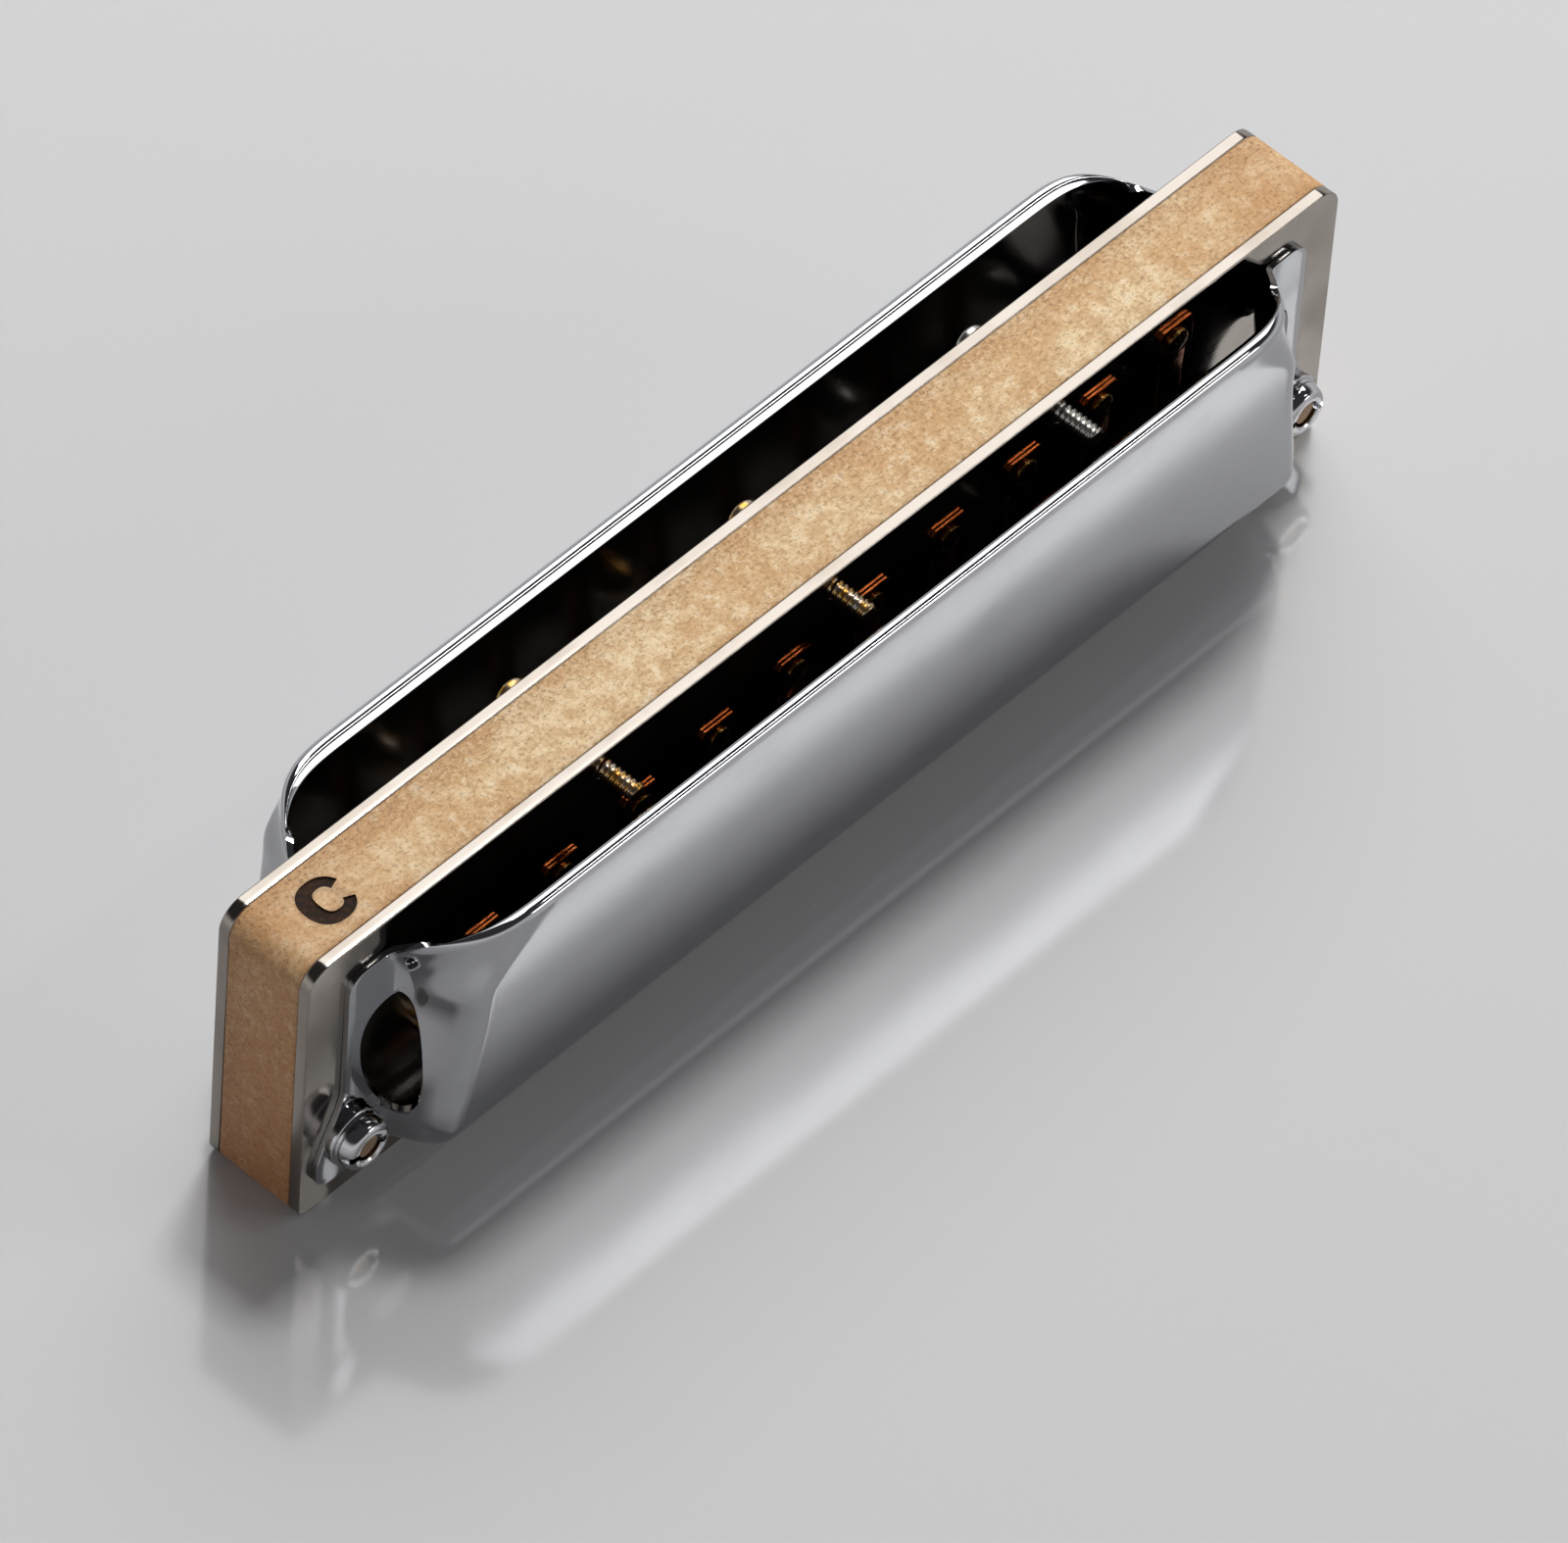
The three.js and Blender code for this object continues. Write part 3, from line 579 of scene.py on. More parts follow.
def carved(mesh, cutters):
    """The mesh less its cutters."""
    tools = []
    holder = bpy.data.objects.new(mesh.name, mesh)
    for cutter in cutters:
        tool = bpy.data.objects.new("tool", cutter)
        bpy.context.collection.objects.link(tool)
        change = holder.modifiers.new("cut", "BOOLEAN")
        change.operation = "DIFFERENCE"
        change.solver = "EXACT"
        change.material_mode = "TRANSFER"
        change.object = tool
        tools.append(tool)
    result = evaluated(holder)
    for tool in tools:
        bpy.data.objects.remove(tool)
    return result


def arc(centre_x, centre_z, radius, start, end, steps=ARC_STEPS):
    """Points along an arc, with its angles from +X towards +Z."""
    angles = [mix(start, end, step / steps) for step in range(steps + 1)]
    return [(centre_x + radius * math.cos(a), centre_z + radius * math.sin(a)) for a in angles]


def circle(centre_x, centre_z, radius):
    return arc(centre_x, centre_z, radius, 0, math.tau, ROUND_STEPS)[:-1]


def rectangle(x_low, x_high, z_low, z_high):
    return [(x_low, z_low), (x_high, z_low), (x_high, z_high), (x_low, z_high)]


def turned_round(loop, outer):
    """The loop without repeated points, counter-clockwise if outer and clockwise if an opening."""
    points = []
    for at, point in enumerate(loop):
        if math.dist(point, loop[at - 1]) > SAME_POINT:
            points.append(Vector(point))
    area = sum(point.cross(after) for point, after in zip(points, points[1:] + points[:1]))
    return points if (area > 0) == outer else points[::-1]


def drawn_in(points, inset):
    """The loop moved into the material on its left by inset."""
    moved = []
    for at, point in enumerate(points):
        before = (point - points[at - 1]).normalized().orthogonal()
        after = (points[(at + 1) % len(points)] - point).normalized().orthogonal()
        moved.append(point + (before + after) * inset / (1 + before.dot(after)))
    return moved


def filled(loops):
    """Triangles, as indices, that fill the first loop less the other ones, which are convex."""
    points = [point for loop in loops for point in loop]
    owners = [number for number, loop in enumerate(loops) for _ in loop]
    edges = []
    for loop in loops:
        first = len(edges)
        edges += [(first + step, first + (step + 1) % len(loop)) for step in range(len(loop))]
    _, _, triangles, sources, _, _ = delaunay_2d_cdt(points, edges, [], 1, SAME_POINT)
    faces = []
    for triangle in triangles:
        corners = [sources[corner][0] for corner in triangle]
        touched = {owners[corner] for corner in corners}
        if len(touched) > 1 or 0 in touched:
            faces.append(corners)
    return faces


def slab(name, loops, y_low, y_high, edge=0.0):
    """An outline of (x, z), less the openings after it, made thick along Y with rounded edges."""
    rounds = [turned_round(loop, number == 0) for number, loop in enumerate(loops)]
    turns = [QUARTER * step / EDGE_STEPS for step in range(EDGE_STEPS + 1)] if edge else [QUARTER]
    rims = [(edge * (1 - math.sin(turn)), edge * (1 - math.cos(turn))) for turn in turns]
    levels = [(inset, y_low + reach) for inset, reach in rims]
    levels += [(inset, y_high - reach) for inset, reach in reversed(rims)]
    count = sum(len(loop) for loop in rounds)
    vertices = []
    for inset, y in levels:
        for loop in rounds:
            vertices += [(point.x, y, point.y) for point in drawn_in(loop, inset)]
    faces = []
    first = 0
    for loop in rounds:
        for step in range(len(loop)):
            here, after = first + step, first + (step + 1) % len(loop)
            for level in range(len(levels) - 1):
                low, high = level * count, (level + 1) * count
                faces.append([low + here, low + after, high + after, high + here])
        first += len(loop)
    cap = filled([drawn_in(loop, levels[0][0]) for loop in rounds])
    faces += cap
    faces += [[corner + (len(levels) - 1) * count for corner in face[::-1]] for face in cap]
    return mesh_from(name, vertices, faces)


def turned(name, profile, closed=False, thread=None):
    """Pairs of radius and height turned about Y. The ends meet the axis, or the profile closes.
    A thread takes a height and an angle and says how deep the groove is there."""
    vertices = []
    rings = []
    for radius, height in profile:
        count = ROUND_STEPS if radius > 0 else 1
        rings.append(range(len(vertices), len(vertices) + count))
        for step in range(count):
            angle = math.tau * step / ROUND_STEPS
            reach = radius - (thread(height, angle) if thread and radius > 0 else 0)
            vertices.append((reach * math.cos(angle), height, reach * math.sin(angle)))
    pairs = list(zip(rings, rings[1:]))
    if closed:
        pairs.append((rings[-1], rings[0]))
    faces = []
    for low, high in pairs:
        for step in range(ROUND_STEPS):
            after = (step + 1) % ROUND_STEPS
            places = ((low, step), (low, after), (high, after), (high, step))
            corners = [ring[at % len(ring)] for ring, at in places]
            faces.append(list(dict.fromkeys(corners)))
    return mesh_from(name, vertices, faces)


def add_piece(name, mesh, node, material, body=MAIN_BODY):
    """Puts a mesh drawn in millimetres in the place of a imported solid."""
    mesh.transform(Matrix.Scale(MM, 4))
    if not any(mesh.materials):
        mesh.materials.clear()
        mesh.materials.append(material)
    mesh.shade_smooth()
    mesh.set_sharp_from_angle(angle=SHARP_ANGLE)
    for face in mesh.polygons:
        if abs(face.normal.y) > FLAT_COSINE:
            face.use_smooth = False
    piece = bpy.data.objects.new(name, mesh)
    bpy.context.collection.objects.link(piece)
    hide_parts(node)
    if body:
        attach(piece, body)
    return piece


def reed_place(side, number):
    """Where a reed lies: the middle of its width, its root, its tip and its pad's far end."""
    low, high = solid_box(f"{side}_reed_{number}")
    towards_tip = SIDES[side]
    tip, pad_end = (low.z, high.z) if towards_tip < 0 else (high.z, low.z)
    return {
        "x": (low.x + high.x) / 2,
        "tip": tip,
        "root": pad_end + towards_tip * PAD_LENGTH,
        "pad_end": pad_end,
        "rivet": pad_end + towards_tip * PAD_LENGTH / 2,
        "towards_tip": towards_tip,
        "bottom": low.y,
        "top": high.y,
    }


def screw_place(number):
    low, high = solid_box(f"reed_plate_screw_{number}")
    return (low.x + high.x) / 2, (low.z + high.z) / 2


def fastener_holes():
    screws = [circle(*screw_place(number), SCREW_HOLE_RADIUS) for number in SCREW_NUMBERS]
    bolts = [circle(end * BOLT_X, BOLT_HEIGHT, BOLT_HOLE_RADIUS) for end in (-1, 1)]
    return screws + bolts


def back_outline():
    """The outline that comb and plates share, from the mouth at +X round the back to -X."""
    mouth_x = HALF_LENGTH - MOUTH_CORNER_RADIUS
    back_x = HALF_LENGTH - BACK_CORNER_RADIUS
    back_z = COMB_DEPTH - BACK_CORNER_RADIUS
    points = arc(mouth_x, MOUTH_CORNER_RADIUS, MOUTH_CORNER_RADIUS, -QUARTER, 0)
    points += arc(back_x, back_z, BACK_CORNER_RADIUS, 0, QUARTER)
    points += arc(-back_x, back_z, BACK_CORNER_RADIUS, QUARTER, 2 * QUARTER)
    points += arc(-mouth_x, MOUTH_CORNER_RADIUS, MOUTH_CORNER_RADIUS, 2 * QUARTER, 3 * QUARTER)
    return points


def squared_arc(centre_x, half_sizes, start, end, squareness):
    """Points along an oval whose sides are straighter than an ellipse's."""
    width, height = half_sizes
    points = []
    for x, z in arc(0, 0, 1, start, end, KEY_STEPS):
        across = math.copysign(abs(x) ** squareness, x) * width
        points.append((centre_x + across, math.copysign(abs(z) ** squareness, z) * height))
    return points


def key_letter():
    """A cutter for the letter C, open towards +X, reaching KEY_DEPTH into the comb's back."""
    upper, lower = KEY_GAP
    lower += math.tau
    outer = squared_arc(0, KEY_OUTER, upper, lower, KEY_OUTER_SQUARENESS)
    inner = squared_arc(KEY_INNER_SHIFT, KEY_INNER, lower, upper, KEY_INNER_SQUARENESS)
    floor, top = COMB_DEPTH - KEY_DEPTH, COMB_DEPTH + CUTTER_OVERRUN
    cutter = slab("key_letter", [outer + inner], floor, top, KEY_EDGE)
    upright = Matrix.Translation((KEY_X, KEY_Y, 0)) @ Matrix.Rotation(QUARTER, 4, "X")
    cutter.transform(upright)
    cutter.materials.append(burnt_wood())
    return cutter


def make_comb(material):
    """The comb: ten chambers open at the mouth, cut in one outline, and the stamped letter."""
    outline = back_outline()
    round_in = CHAMBER_MOUTH_RADIUS
    for number in reversed(REED_NUMBERS):
        place = reed_place("draw", number)
        left = place["x"] - CHAMBER_WIDTH / 2
        right = place["x"] + CHAMBER_WIDTH / 2
        arc_z = place["root"] + CHAMBER_PAST_ROOT - CHAMBER_END_RADIUS
        outline += arc(left - round_in, round_in, round_in, -QUARTER, 0, MOUTH_STEPS)
        outline += arc(left + CHAMBER_END_RADIUS, arc_z, CHAMBER_END_RADIUS, 2 * QUARTER, QUARTER)
        outline += arc(right - CHAMBER_END_RADIUS, arc_z, CHAMBER_END_RADIUS, QUARTER, 0)
        outline += arc(right + round_in, round_in, round_in, 2 * QUARTER, 3 * QUARTER, MOUTH_STEPS)
    comb = slab("comb_wood", [outline, *fastener_holes()], -PLATE_INNER, PLATE_INNER, COMB_EDGE)
    comb.materials.append(material)
    add_piece("wooden_comb", carved(comb, [key_letter()]), "comb", material)


def make_plate(side, material):
    """A reed plate with a slot under every tongue and a hole for every rivet, screw and bolt."""
    low, high = solid_box(f"{side}_reed_plate")
    half_slot = TONGUE_WIDTH / 2 + SLOT_CLEARANCE
    loops = [back_outline(), *fastener_holes()]
    for number in REED_NUMBERS:
        place = reed_place(side, number)
        end = place["tip"] + place["towards_tip"] * SLOT_CLEARANCE
        z_low, z_high = sorted((place["root"], end))
        loops.append(rectangle(place["x"] - half_slot, place["x"] + half_slot, z_low, z_high))
        loops.append(circle(place["x"], place["rivet"], RIVET_HOLE_RADIUS))
    mesh = slab(f"{side}_plate", loops, low.y, high.y, PLATE_EDGE)
    add_piece(f"{side}_plate_nickel", mesh, f"{side}_reed_plate", material)


def cut_across(mesh, heights):
    """Adds a ring of edges to a strip at each height, so that it can bend."""
    work = bmesh.new()
    work.from_mesh(mesh)
    for height in heights:
        everything = [*work.verts, *work.edges, *work.faces]
        bmesh.ops.bisect_plane(work, geom=everything, plane_co=(0, 0, height), plane_no=(0, 0, 1))
    work.to_mesh(mesh)
    work.free()


def make_reed(side, number, material):
    """A chamfered pad and a tongue that thins from its root, stands off the plate at its tip
    and, on the lowest notes, is left thick at the tip as a weight."""
    place = reed_place(side, number)
    x, root, tip, pad_end = (place[key] for key in ("x", "root", "tip", "pad_end"))
    onward = place["towards_tip"]
    pad_half = PAD_WIDTH / 2
    tongue_half = TONGUE_WIDTH / 2
    half = [
        (tongue_half, tip),
        (tongue_half, root),
        (pad_half, root - onward * PAD_CHAMFER),
        (pad_half, pad_end + onward * PAD_CHAMFER),
        (pad_half - PAD_CHAMFER, pad_end),
    ]
    outline = [(x + offset, z) for offset, z in half]
    outline += [(x - offset, z) for offset, z in reversed(half)]
    hole = circle(x, place["rivet"], RIVET_HOLE_RADIUS)
    mesh = slab(f"{side}_reed", [outline, hole], place["bottom"], place["top"], REED_EDGE)
    length = abs(tip - root)
    cut_across(mesh, [mix(root, tip, step / REED_STATIONS) for step in range(1, REED_STATIONS)])
    weight = WEIGHT_SHARE if number <= WEIGHTED_REEDS else 0
    for vertex in mesh.vertices:
        share = clamped((vertex.co.z - root) * onward / length)
        weighted = weight * smooth((share - WEIGHT_START_SHARE) / WEIGHT_TAPER_SHARE)
        belly = smooth(share / ROOT_TAPER_SHARE) * (1 - weighted)
        away = clamped((place["top"] - vertex.co.y) / (place["top"] - place["bottom"]))
        vertex.co.y += REED_THINNING * belly * away
        vertex.co.y -= REED_LIFT_SHARE * length * share**2
    node = f"{side}_reed_{number}"
    piece = add_piece(f"{node}_bronze", mesh, node, material, None)
    middle = (place["bottom"] + place["top"]) / 2
    end = Vector((x, middle, root + onward * BEND_LENGTH)) * MM
    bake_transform(piece)


def dome(radius, height, crest):
    """A quarter of an ellipse, from its crest on the axis out to radius, height further along Y."""
    angles = [QUARTER * step / ARC_STEPS for step in range(ARC_STEPS + 1)]
    return [(radius * math.sin(a), crest + height * (1 - math.cos(a))) for a in angles]


def make_rivet(side, number, material):
    """A hammered head on the pad, and a tail spread on the blow plate or flush in the draw one."""
    node = f"{side}_rivet_{number}"
    place = reed_place(side, number)
    low, high = solid_box(node)
    pad = low.y + RIVET_HEAD_HEIGHT
    profile = dome(RIVET_HEAD_RADIUS, RIVET_HEAD_HEIGHT * RIVET_DOME_SHARE, low.y)
    profile.append((RIVET_HEAD_RADIUS, pad - RIVET_CHAMFER_HEIGHT))
    profile += [(RIVET_HEAD_RADIUS - RIVET_CHAMFER_WIDTH, pad), (RIVET_RADIUS, pad)]
    if side == "draw":
        profile += [(RIVET_RADIUS, high.y), (0, high.y)]
    else:
        tail = dome(RIVET_TAIL_RADIUS, -RIVET_TAIL_HEIGHT, high.y)
        profile += [(RIVET_RADIUS, PLATE_OUTER), *reversed(tail)]
    mesh = turned(f"{side}_rivet", profile)
    mesh.transform(Matrix.Translation((place["x"], 0, place["rivet"])))
    add_piece(f"{node}_brass", mesh, node, material)


def cross_recess(top, length, depth):
    """A cutter for a cross recess that narrows towards its floor."""
    vertices = []
    for height, share in ((top - depth, RECESS_FLOOR_SHARE), (top + CUTTER_OVERRUN, 1)):
        arm, half = length / 2 * share, DRIVE_WIDTH / 2 * share
        corner = [(arm, half), (half, half), (half, arm)]
        for _ in range(4):
            vertices += [(x, height, z) for x, z in corner]
            corner = [(-z, x) for x, z in corner]
    count = len(vertices) // 2
    faces = [list(range(count)), list(range(count, 2 * count))]
    faces += [[at, (at + 1) % count, (at + 1) % count + count, at + count] for at in range(count)]
    return mesh_from("cross_recess", vertices, faces)


def helix(pitch, depth, start, end):
    """The depth of a groove that winds round Y between two heights and fades at both."""
    def groove(height, angle):
        turns = height / pitch + angle / math.tau
        across = abs(turns % 1 - 0.5) * 2
        fade = smooth((height - start) / pitch) * smooth((end - height) / pitch)
        return depth * smooth(THREAD_FULLNESS * (1 - across)) * fade
    return groove


def threaded_rows(radius, start, end, pitch):
    """Points of a profile's threaded stretch, close enough together to show the grooves."""
    steps = math.ceil((end - start) / pitch * ROWS_PER_PITCH)
    return [(radius, mix(start, end, step / steps)) for step in range(steps + 1)]


def make_screws(material):
    """Screws put in from the blow side, whose threaded points stand out of the draw plate."""
    low, high = solid_box("reed_plate_screw_1")
    point, head_top = low.y, high.y
    seat = PLATE_OUTER
    thread_end = -PLATE_INNER
    shank = point + SCREW_POINT
    profile = [(0, point)]
    profile += arc(SCREW_RADIUS - SCREW_POINT, shank, SCREW_POINT, -QUARTER, 0, SCREW_POINT_STEPS)
    profile += threaded_rows(SCREW_RADIUS, shank, thread_end, SCREW_PITCH)[1:]
    profile += [(SCREW_RADIUS, seat), (SCREW_HEAD_RADIUS - SCREW_HEAD_CHAMFER, seat)]
    profile.append((SCREW_HEAD_RADIUS, seat + SCREW_HEAD_CHAMFER))
    rim = seat + SCREW_HEAD_HEIGHT * SCREW_RIM_SHARE
    profile += reversed(dome(SCREW_HEAD_RADIUS, rim - head_top, head_top))
    thread = helix(SCREW_PITCH, THREAD_DEPTH, point, thread_end)
    whole = turned("screw", profile, thread=thread)
    pattern = carved(whole, [cross_recess(head_top, SCREW_DRIVE_LENGTH, SCREW_DRIVE_DEPTH)])
    for number in SCREW_NUMBERS:
        x, z = screw_place(number)
        mesh = pattern.copy()
        own_turn = Matrix.Rotation(number, 4, "Y")
        mesh.transform(Matrix.Translation((x, 0, z)) @ own_turn)
        node = f"reed_plate_screw_{number}"
        add_piece(f"{node}_steel", mesh, node, material)


def add_at_ends(pattern, kind, material):
    """A copy of a bolt or nut at each end of the covers."""
    for name, end in (("left", -1), ("right", 1)):
        mesh = pattern.copy()
        mesh.transform(Matrix.Translation((end * BOLT_X, 0, BOLT_HEIGHT)))
        node = f"{name}_cover_{kind}"
        add_piece(f"{node}_chrome", mesh, node, material)


def make_bolts(material):
    """Bolts with domed heads on the blow cover, threaded where they end in the nuts."""
    low, high = solid_box("right_cover_bolt")
    seat = COVER_OUTER
    shank = low.y + BOLT_END_CHAMFER
    profile = [(0, low.y), (BOLT_RADIUS - BOLT_END_CHAMFER, low.y), (BOLT_RADIUS, shank)]
    profile += threaded_rows(BOLT_RADIUS, shank, -PLATE_OUTER, BOLT_PITCH)[1:]
    profile += [(BOLT_RADIUS, seat), (BOLT_HEAD_RADIUS - BOLT_HEAD_CHAMFER, seat)]
    profile.append((BOLT_HEAD_RADIUS, seat + BOLT_HEAD_CHAMFER))
    rim = seat + BOLT_HEAD_HEIGHT * BOLT_RIM_SHARE
    profile += reversed(dome(BOLT_HEAD_RADIUS, rim - high.y, high.y))
    thread = helix(BOLT_PITCH, THREAD_DEPTH, low.y, -PLATE_OUTER)
    whole = turned("bolt", profile, thread=thread)
    pattern = carved(whole, [cross_recess(high.y, DRIVE_LENGTH, DRIVE_DEPTH)])
    add_at_ends(pattern, "bolt", material)


def make_nuts(material):
    """Round nuts: a flat collar, a waist and a slotted dome with the bolt's end in its bore."""
    base, top = NUT_HIGH.y, NUT_LOW.y
    edge = NUT_RIM_ROUND
    rim = arc(NUT_RADIUS - edge, NUT_RIM - edge, edge, 0, QUARTER, NUT_RIM_STEPS)
    waist = base - NUT_RIM - NUT_WAIST_DROP
    shoulder = waist - NUT_SHOULDER_DROP
    profile = [(NUT_BORE, base), (NUT_RADIUS - NUT_BASE_CHAMFER, base)]
    profile += [(radius, base - drop) for radius, drop in rim]
    profile += [(NUT_WAIST_RADIUS + NUT_WAIST_FILLET, base - NUT_RIM - NUT_RIM_LIP)]
    profile += [(NUT_WAIST_RADIUS, waist), (NUT_WAIST_RADIUS + NUT_SHOULDER, shoulder)]
    swell = NUT_WAIST_RADIUS + NUT_SHOULDER - NUT_TOP_RADIUS
    for step in range(1, ARC_STEPS + 1):
        angle = QUARTER * step / ARC_STEPS
        radius = NUT_TOP_RADIUS + swell * math.cos(angle) ** NUT_DOME_POWER
        profile.append((radius, mix(shoulder, top, math.sin(angle))))
    profile += [(NUT_BORE + NUT_BORE_CHAMFER, top), (NUT_BORE, top + NUT_BORE_DROP)]
    whole = turned("nut", profile, closed=True)
    slot_low, slot_high = top - CUTTER_OVERRUN, top + DRIVE_DEPTH
    loop = rectangle(-2 * NUT_RADIUS, 2 * NUT_RADIUS, -DRIVE_WIDTH / 2, DRIVE_WIDTH / 2)
    pattern = carved(whole, [slab("slot", [loop], slot_low, slot_high)])
    add_at_ends(pattern, "nut", material)


def flange_edge(z):
    """Half length of the flange's outer edge at a height above the mouth face."""
    ear = EAR_REACH * smooth((EAR_TOP - z) / (EAR_TOP - EAR_BOTTOM))
    past = max(0, z - (FLANGE_BACK - FLANGE_CORNER), COVER_FRONT + FLANGE_CORNER - z)
    trim = FLANGE_CORNER - math.sqrt(max(0, FLANGE_CORNER**2 - past**2))
    return FLANGE_HALF_LENGTH + ear - trim


def crown_foot(z):
    """Half length of the line where the pressed crown leaves the flange, drawn in to a waist."""
    above = clamped((z - WAIST_HEIGHT) / WAIST_BELOW_BACK)
    below = smooth((WAIST_HEIGHT - z) / (WAIST_HEIGHT - BOLT_HEIGHT))
    return FOOT_HALF_LENGTH - WAIST_INSET * (1 - below) + FOOT_FLARE * above**2


def end_run(z):
    """Length over which the end wall rises from its foot to the crown."""
    return mix(END_RUN, BACK_END_RUN, smooth((z - WAIST_HEIGHT) / WAIST_BELOW_BACK))


def solid_section(row):
    """Height above the mouth face and rise above the flange, at a row of the solid's section."""
    shoulder_z = WALL_Z + SHOULDER_RUN
    roll_z = CROWN_BACK - ROLL_RADIUS
    if row <= 1:
        return mix(COVER_FRONT, WALL_Z, row), 0
    if row <= SHOULDER_END:
        angle = QUARTER * (row - 1) / SHOULDER_ROWS
        return shoulder_z - SHOULDER_RUN * math.cos(angle), SHOULDER_RISE * math.sin(angle)
    if row <= CROWN_END:
        share = (row - SHOULDER_END) / CROWN_ROWS
        rise = mix(SHOULDER_RISE, CROWN_RISE, math.sin(share * QUARTER))
        return mix(shoulder_z, roll_z, share), rise
    if row <= ROLL_END:
        angle = QUARTER * (row - CROWN_END) / ROLL_ROWS
        drop = ROLL_RADIUS * (1 - math.cos(angle))
        return roll_z + ROLL_RADIUS * math.sin(angle), CROWN_RISE - drop
    return CROWN_BACK, CROWN_RISE - ROLL_RADIUS - ROLL_LIP * (row - ROLL_END)


def crown_section(row):
    """The section with a rounded corner where the wall leaves the front lip, and a rear lip that
    curls on towards the plate."""
    if row > CROWN_END:
        angle = CURL * min(1, (row - CROWN_END) / ROLL_ROWS)
        lip = CURL_LIP * max(0, row - ROLL_END)
        z = CROWN_BACK - ROLL_RADIUS * (1 - math.sin(angle)) + lip * math.cos(angle)
        return z, CROWN_RISE - ROLL_RADIUS * (1 - math.cos(angle)) - lip * math.sin(angle)
    fillet_low = 1 - FRONT_FILLET / FRONT_LIP
    fillet_high = 1 + SHOULDER_ROWS * math.asin(FRONT_FILLET / SHOULDER_RISE) / QUARTER
    if not fillet_low < row < fillet_high:
        return solid_section(row)
    angle = QUARTER * (row - fillet_low) / (fillet_high - fillet_low)
    return WALL_Z - FRONT_FILLET * (1 - math.sin(angle)), FRONT_FILLET * (1 - math.cos(angle))


def solid_flat_heights():
    """Heights of the solid's rows on the flat flange, in step with the way along its section."""
    corners = [solid_section(row) for row in range(LAST_ROW + 1)]
    ways = [0]
    for before, after in zip(corners, corners[1:]):
        ways.append(ways[-1] + math.dist(before, after))
    return [mix(COVER_FRONT, FLANGE_BACK, way / ways[-1]) for way in ways]


def cover_rows():
    """Rows from the front lip to the rolled rear lip, closest together where the section turns,
    each with its height on the flat flange."""
    rows = [0]
    for start, end, steps in ROW_STRETCHES:
        rows += [mix(start, end, step / steps) for step in range(1, steps + 1)]
    flat = solid_flat_heights()
    heights = []
    for row in rows:
        at = min(int(row), LAST_ROW - 1)
        heights.append(mix(flat[at], flat[at + 1], row - at))
    return list(zip(rows, heights))


def cover_columns():
    """Columns from end to end: how far along flange, end wall or middle each one lies."""
    half = [("flange", step / FLANGE_STEPS) for step in range(FLANGE_STEPS)]
    half += [("end", (step / END_STEPS) ** END_CROWDING) for step in range(END_STEPS + 1)]
    half += [("middle", step / MIDDLE_STEPS) for step in range(1, MIDDLE_STEPS)]
    columns = [(-1, *column) for column in half]
    columns.append((1, "middle", 1))
    return columns + [(1, *column) for column in reversed(half)]


def cover_point(row, flat_z, column):
    """A point of the cover's outer face, with y as its distance from the reed plate."""
    side, zone, share = column
    z, rise = crown_section(row)
    foot, run = crown_foot(flat_z), end_run(flat_z)
    if zone == "middle":
        return side * (foot - run) * (1 - share), SHEET + rise, z
    if zone == "flange":
        inset = (foot - flange_edge(flat_z)) / run * (1 - share)
    else:
        inset = share
    fillet = END_FILLET / run
    eased = (inset + math.sqrt(inset**2 + 4 * fillet**2)) / 2
    lift = 1 - (1 - min(1, eased)) ** END_LIFT_SHARE
    return side * (foot - run * inset), SHEET + rise * lift, mix(flat_z, z, lift)


def bezier(*corners):
    """Points along a curve with four corners, without the last one."""
    points = []
    for step in range(BEZIER_STEPS):
        t = step / BEZIER_STEPS
        weights = ((1 - t) ** 3, 3 * t * (1 - t) ** 2, 3 * t * t * (1 - t), t**3)
        points.append(tuple(sum(w * c[axis] for w, c in zip(weights, corners)) for axis in (0, 1)))
    return points


def vent_cutter(end, sign):
    """An oval drawn where it meets the top of the flange. The cutter leans out over the flange
    at 45 degrees, so it opens the crown's end wall as well."""
    def place(shares):
        across, down = shares
        return end * mix(VENT_INNER_X, VENT_OUTER_X, across), mix(VENT_TOP, VENT_BOTTOM, down)
    start = place(VENT_TOP_SHARES)
    loop = []
    for shares in VENT_CURVE_SHARES:
        leave, arrive, stop = (place(pair) for pair in shares)
        loop += bezier(start, leave, arrive, stop)
        start = stop
    low, high = sorted(sign * (PLATE_OUTER + reach) for reach in (-CUTTER_OVERRUN, VENT_RISE))
    cutter = slab("vent", [loop], low, high)
    for vertex in cutter.vertices:
        vertex.co.x += end * (sign * vertex.co.y - COVER_OUTER)
    return cutter


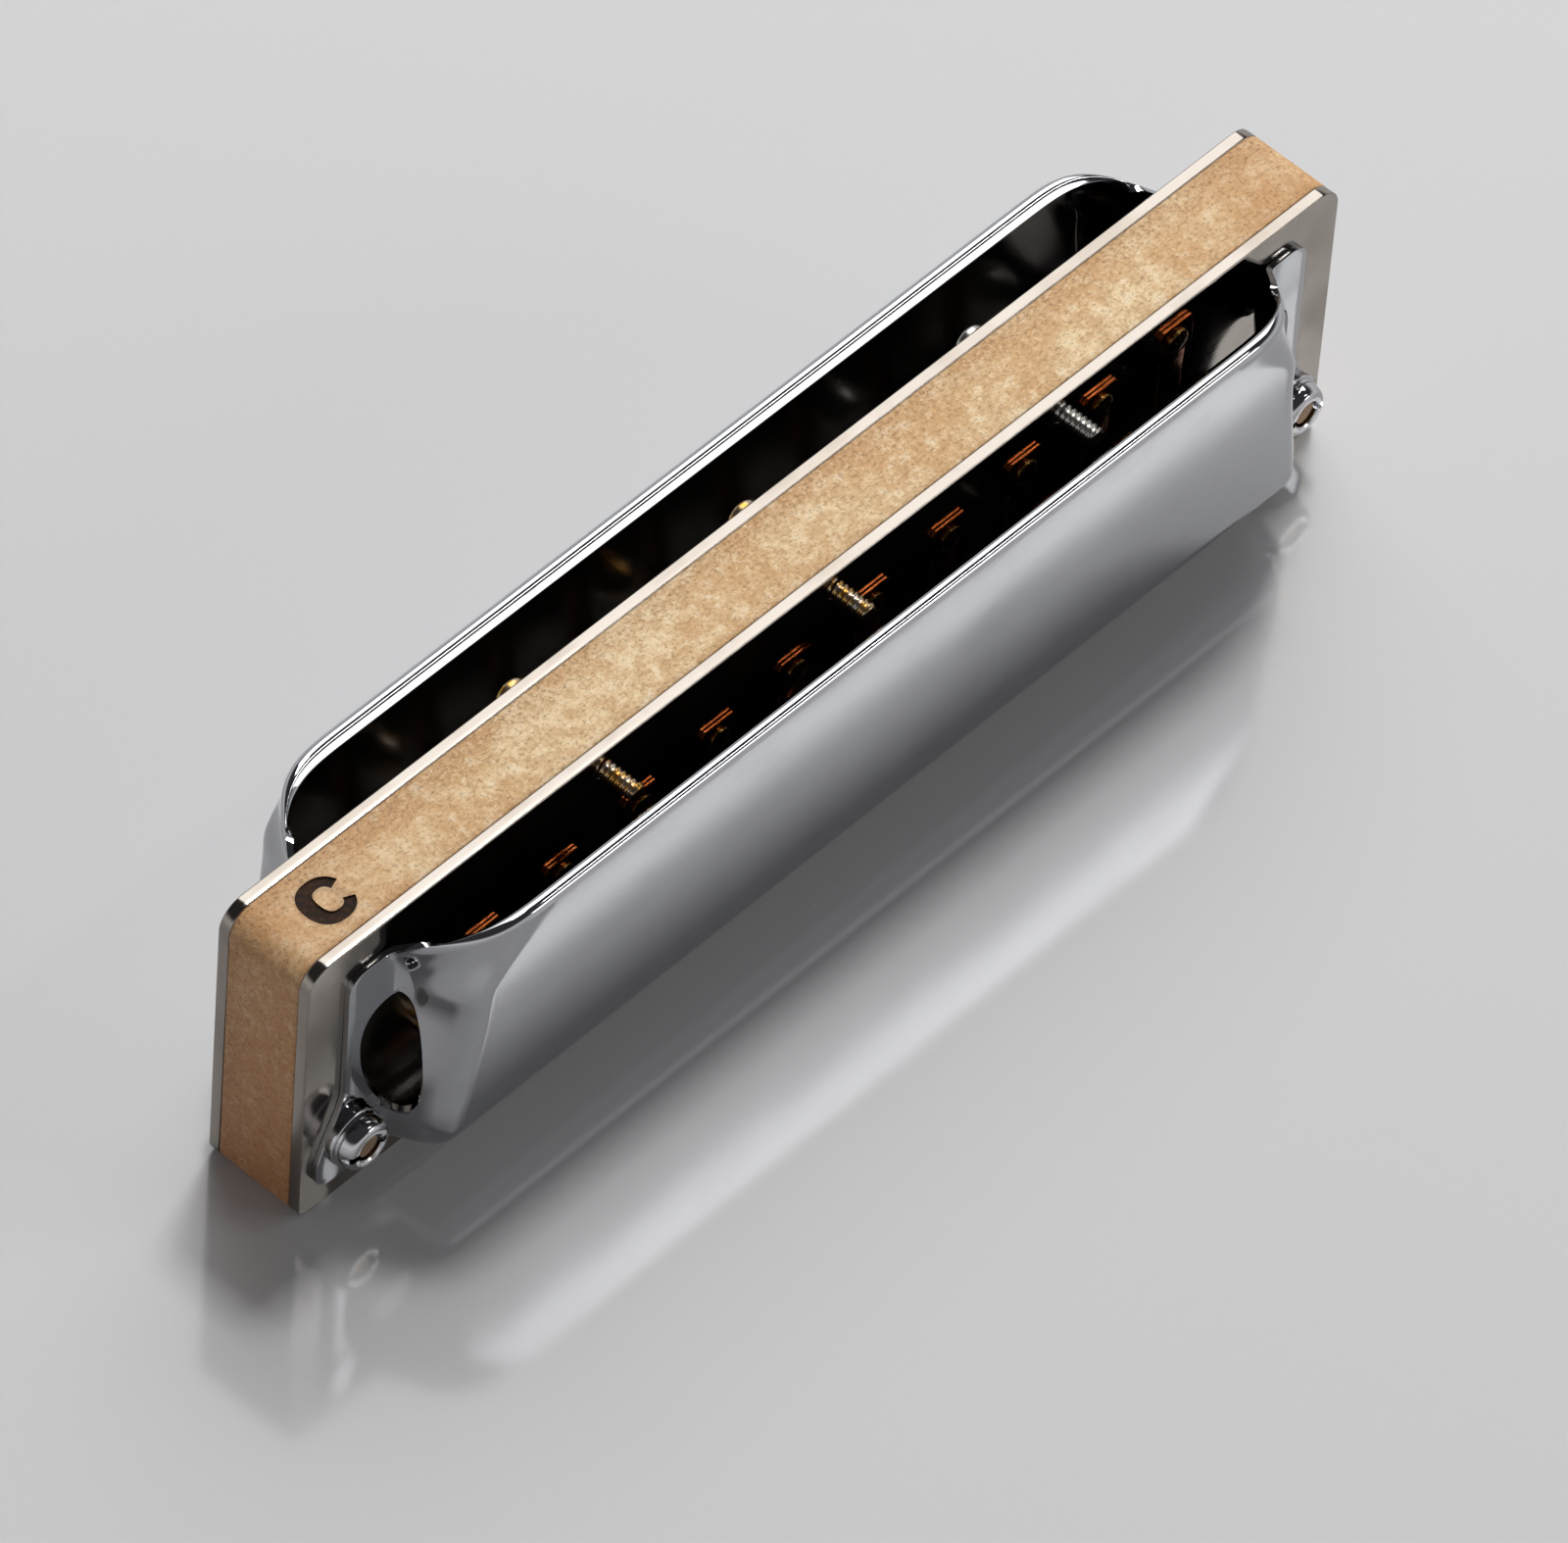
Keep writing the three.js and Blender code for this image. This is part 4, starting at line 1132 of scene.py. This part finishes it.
def pressed_sheet(name, sign, outside, inside):
    """The cover before its holes are cut: its outer face made thick inwards, with rounded rims."""
    rows, columns = cover_rows(), cover_columns()
    vertices = []
    for row, flat_z in rows:
        for column in columns:
            x, y, z = cover_point(row, flat_z, column)
            vertices.append((x, sign * (PLATE_OUTER + y), z))
    width = len(columns)
    faces = []
    for row in range(len(rows) - 1):
        for column in range(width - 1):
            corner = row * width + column
            face = [corner, corner + 1, corner + width + 1, corner + width]
            faces.append(face if sign < 0 else face[::-1])
    mesh = bpy.data.meshes.new(name)
    mesh.from_pydata(vertices, [], faces)
    mesh.materials.append(outside)
    mesh.materials.append(inside)
    holder = bpy.data.objects.new(name, mesh)
    thick = holder.modifiers.new("thick", "SOLIDIFY")
    thick.thickness = SHEET
    thick.offset = -1
    thick.use_even_offset = True
    thick.material_offset = 1
    rim = holder.modifiers.new("rim", "BEVEL")
    rim.width = SHEET_EDGE
    rim.segments = SHEET_EDGE_STEPS
    rim.limit_method = "ANGLE"
    rim.angle_limit = SHEET_EDGE_ANGLE
    return evaluated(holder)


def make_cover(side, outside, inside):
    """A cover with its vents and bolt holes, kept off the plate that it lies on."""
    sign = SIDES[side]
    mesh = pressed_sheet(f"{side}_sheet", sign, outside, inside)
    reaches = (PLATE_OUTER - CUTTER_OVERRUN, COVER_OUTER + CUTTER_OVERRUN)
    low, high = sorted(sign * reach for reach in reaches)
    cutters = []
    for end in (-1, 1):
        hole = circle(end * BOLT_X, BOLT_HEIGHT, BOLT_HOLE_RADIUS)
        cutters += [vent_cutter(end, sign), slab("bolt_hole", [hole], low, high)]
    mesh = carved(mesh, cutters)
    for vertex in mesh.vertices:
        vertex.co.y = sign * max(PLATE_OUTER, sign * vertex.co.y)
    add_piece(f"{side}_cover_chrome", mesh, f"{side}_cover", outside)


def make_harmonica():
    """All 57 pieces."""
    plate, bronze, brass = plated_sheet(), reed_bronze(), rivet_brass()
    chrome, shaded_inside = bright_chrome(), inner_sheet_painted_dark()
    make_comb(pear_wood())
    for side in SIDES:
        make_plate(side, plate)
        make_cover(side, chrome, shaded_inside)
        for number in REED_NUMBERS:
            make_reed(side, number, bronze)
            make_rivet(side, number, brass)
    make_screws(screw_steel())
    fastener = fastener_chrome()
    make_bolts(fastener)
    make_nuts(fastener)


def make_floor():
    """A pale floor with a soft sheen."""
    corners = rectangle(-FLOOR_REACH, FLOOR_REACH, -FLOOR_REACH, FLOOR_REACH)
    mesh = mesh_from("floor", [(x, y, 0) for x, y in corners], [range(4)])
    floor = bpy.data.objects.new("floor", mesh)
    bpy.context.collection.objects.link(floor)
    finish = Finish("pale_floor", {"Base Color": FLOOR_COLOUR, "Roughness": FLOOR_ROUGHNESS})
    mesh.materials.append(finish.material)


def add_lamp(name, direction, along, distance, length, height, radiance):
    """A soft box that faces the object, its length along a direction.
    Radiance is what a mirror shows of it."""
    lamp = bpy.data.lights.new(name, "AREA")
    lamp.shape = "RECTANGLE"
    lamp.size = length
    lamp.size_y = height
    lamp.energy = radiance * length * height * math.pi
    holder = bpy.data.objects.new(name, lamp)
    towards = Vector(direction).normalized()
    holder.location = towards * distance
    upright = towards.cross(Vector(along)).normalized()
    axes = Matrix((upright.cross(towards), upright, towards)).transposed()
    holder.rotation_mode = "QUATERNION"
    holder.rotation_quaternion = axes.to_quaternion()
    holder.visible_camera = False
    bpy.context.collection.objects.link(holder)


def make_light():
    """A pale backdrop all round, a dim ceiling and the soft boxes."""
    world = bpy.data.worlds.new("studio")
    world.use_nodes = True
    tree = world.node_tree
    direction = tree.nodes.new("ShaderNodeTexCoord").outputs["Generated"]
    split = tree.nodes.new("ShaderNodeSeparateXYZ")
    tree.links.new(direction, split.inputs[0])
    rise = tree.nodes.new("ShaderNodeMapRange")
    rise.interpolation_type = "SMOOTHSTEP"
    rise.inputs["From Min"].default_value = CEILING_START
    rise.inputs["From Max"].default_value = CEILING_FULL
    tree.links.new(split.outputs["Z"], rise.inputs["Value"])
    blend = tree.nodes.new("ShaderNodeMix")
    blend.data_type = "RGBA"
    blend.inputs[6].default_value = BACKDROP_COLOUR
    blend.inputs[7].default_value = CEILING_COLOUR
    tree.links.new(rise.outputs[0], blend.inputs[0])
    tree.links.new(blend.outputs[2], tree.nodes["Background"].inputs["Color"])
    bpy.context.scene.world = world
    for name, lamp in LAMPS.items():
        add_lamp(name, *lamp)


def make_camera():
    """The camera that took the photograph, as far as the object's edges tell it."""
    camera = bpy.data.cameras.new("camera")
    camera.lens = CAMERA_LENS
    camera.sensor_fit = "HORIZONTAL"
    camera.sensor_width = CAMERA_SENSOR
    camera.shift_x, camera.shift_y = CAMERA_SHIFT
    camera.clip_start, camera.clip_end = CAMERA_CLIP
    holder = bpy.data.objects.new("camera", camera)
    holder.location = CAMERA_PLACE
    holder.rotation_euler = [math.radians(turn) for turn in CAMERA_TURN]
    bpy.context.collection.objects.link(holder)
    bpy.context.scene.camera = holder


make_camera()
make_harmonica()
make_floor()
make_light()
bpy.context.scene.view_settings.view_transform = "Standard"
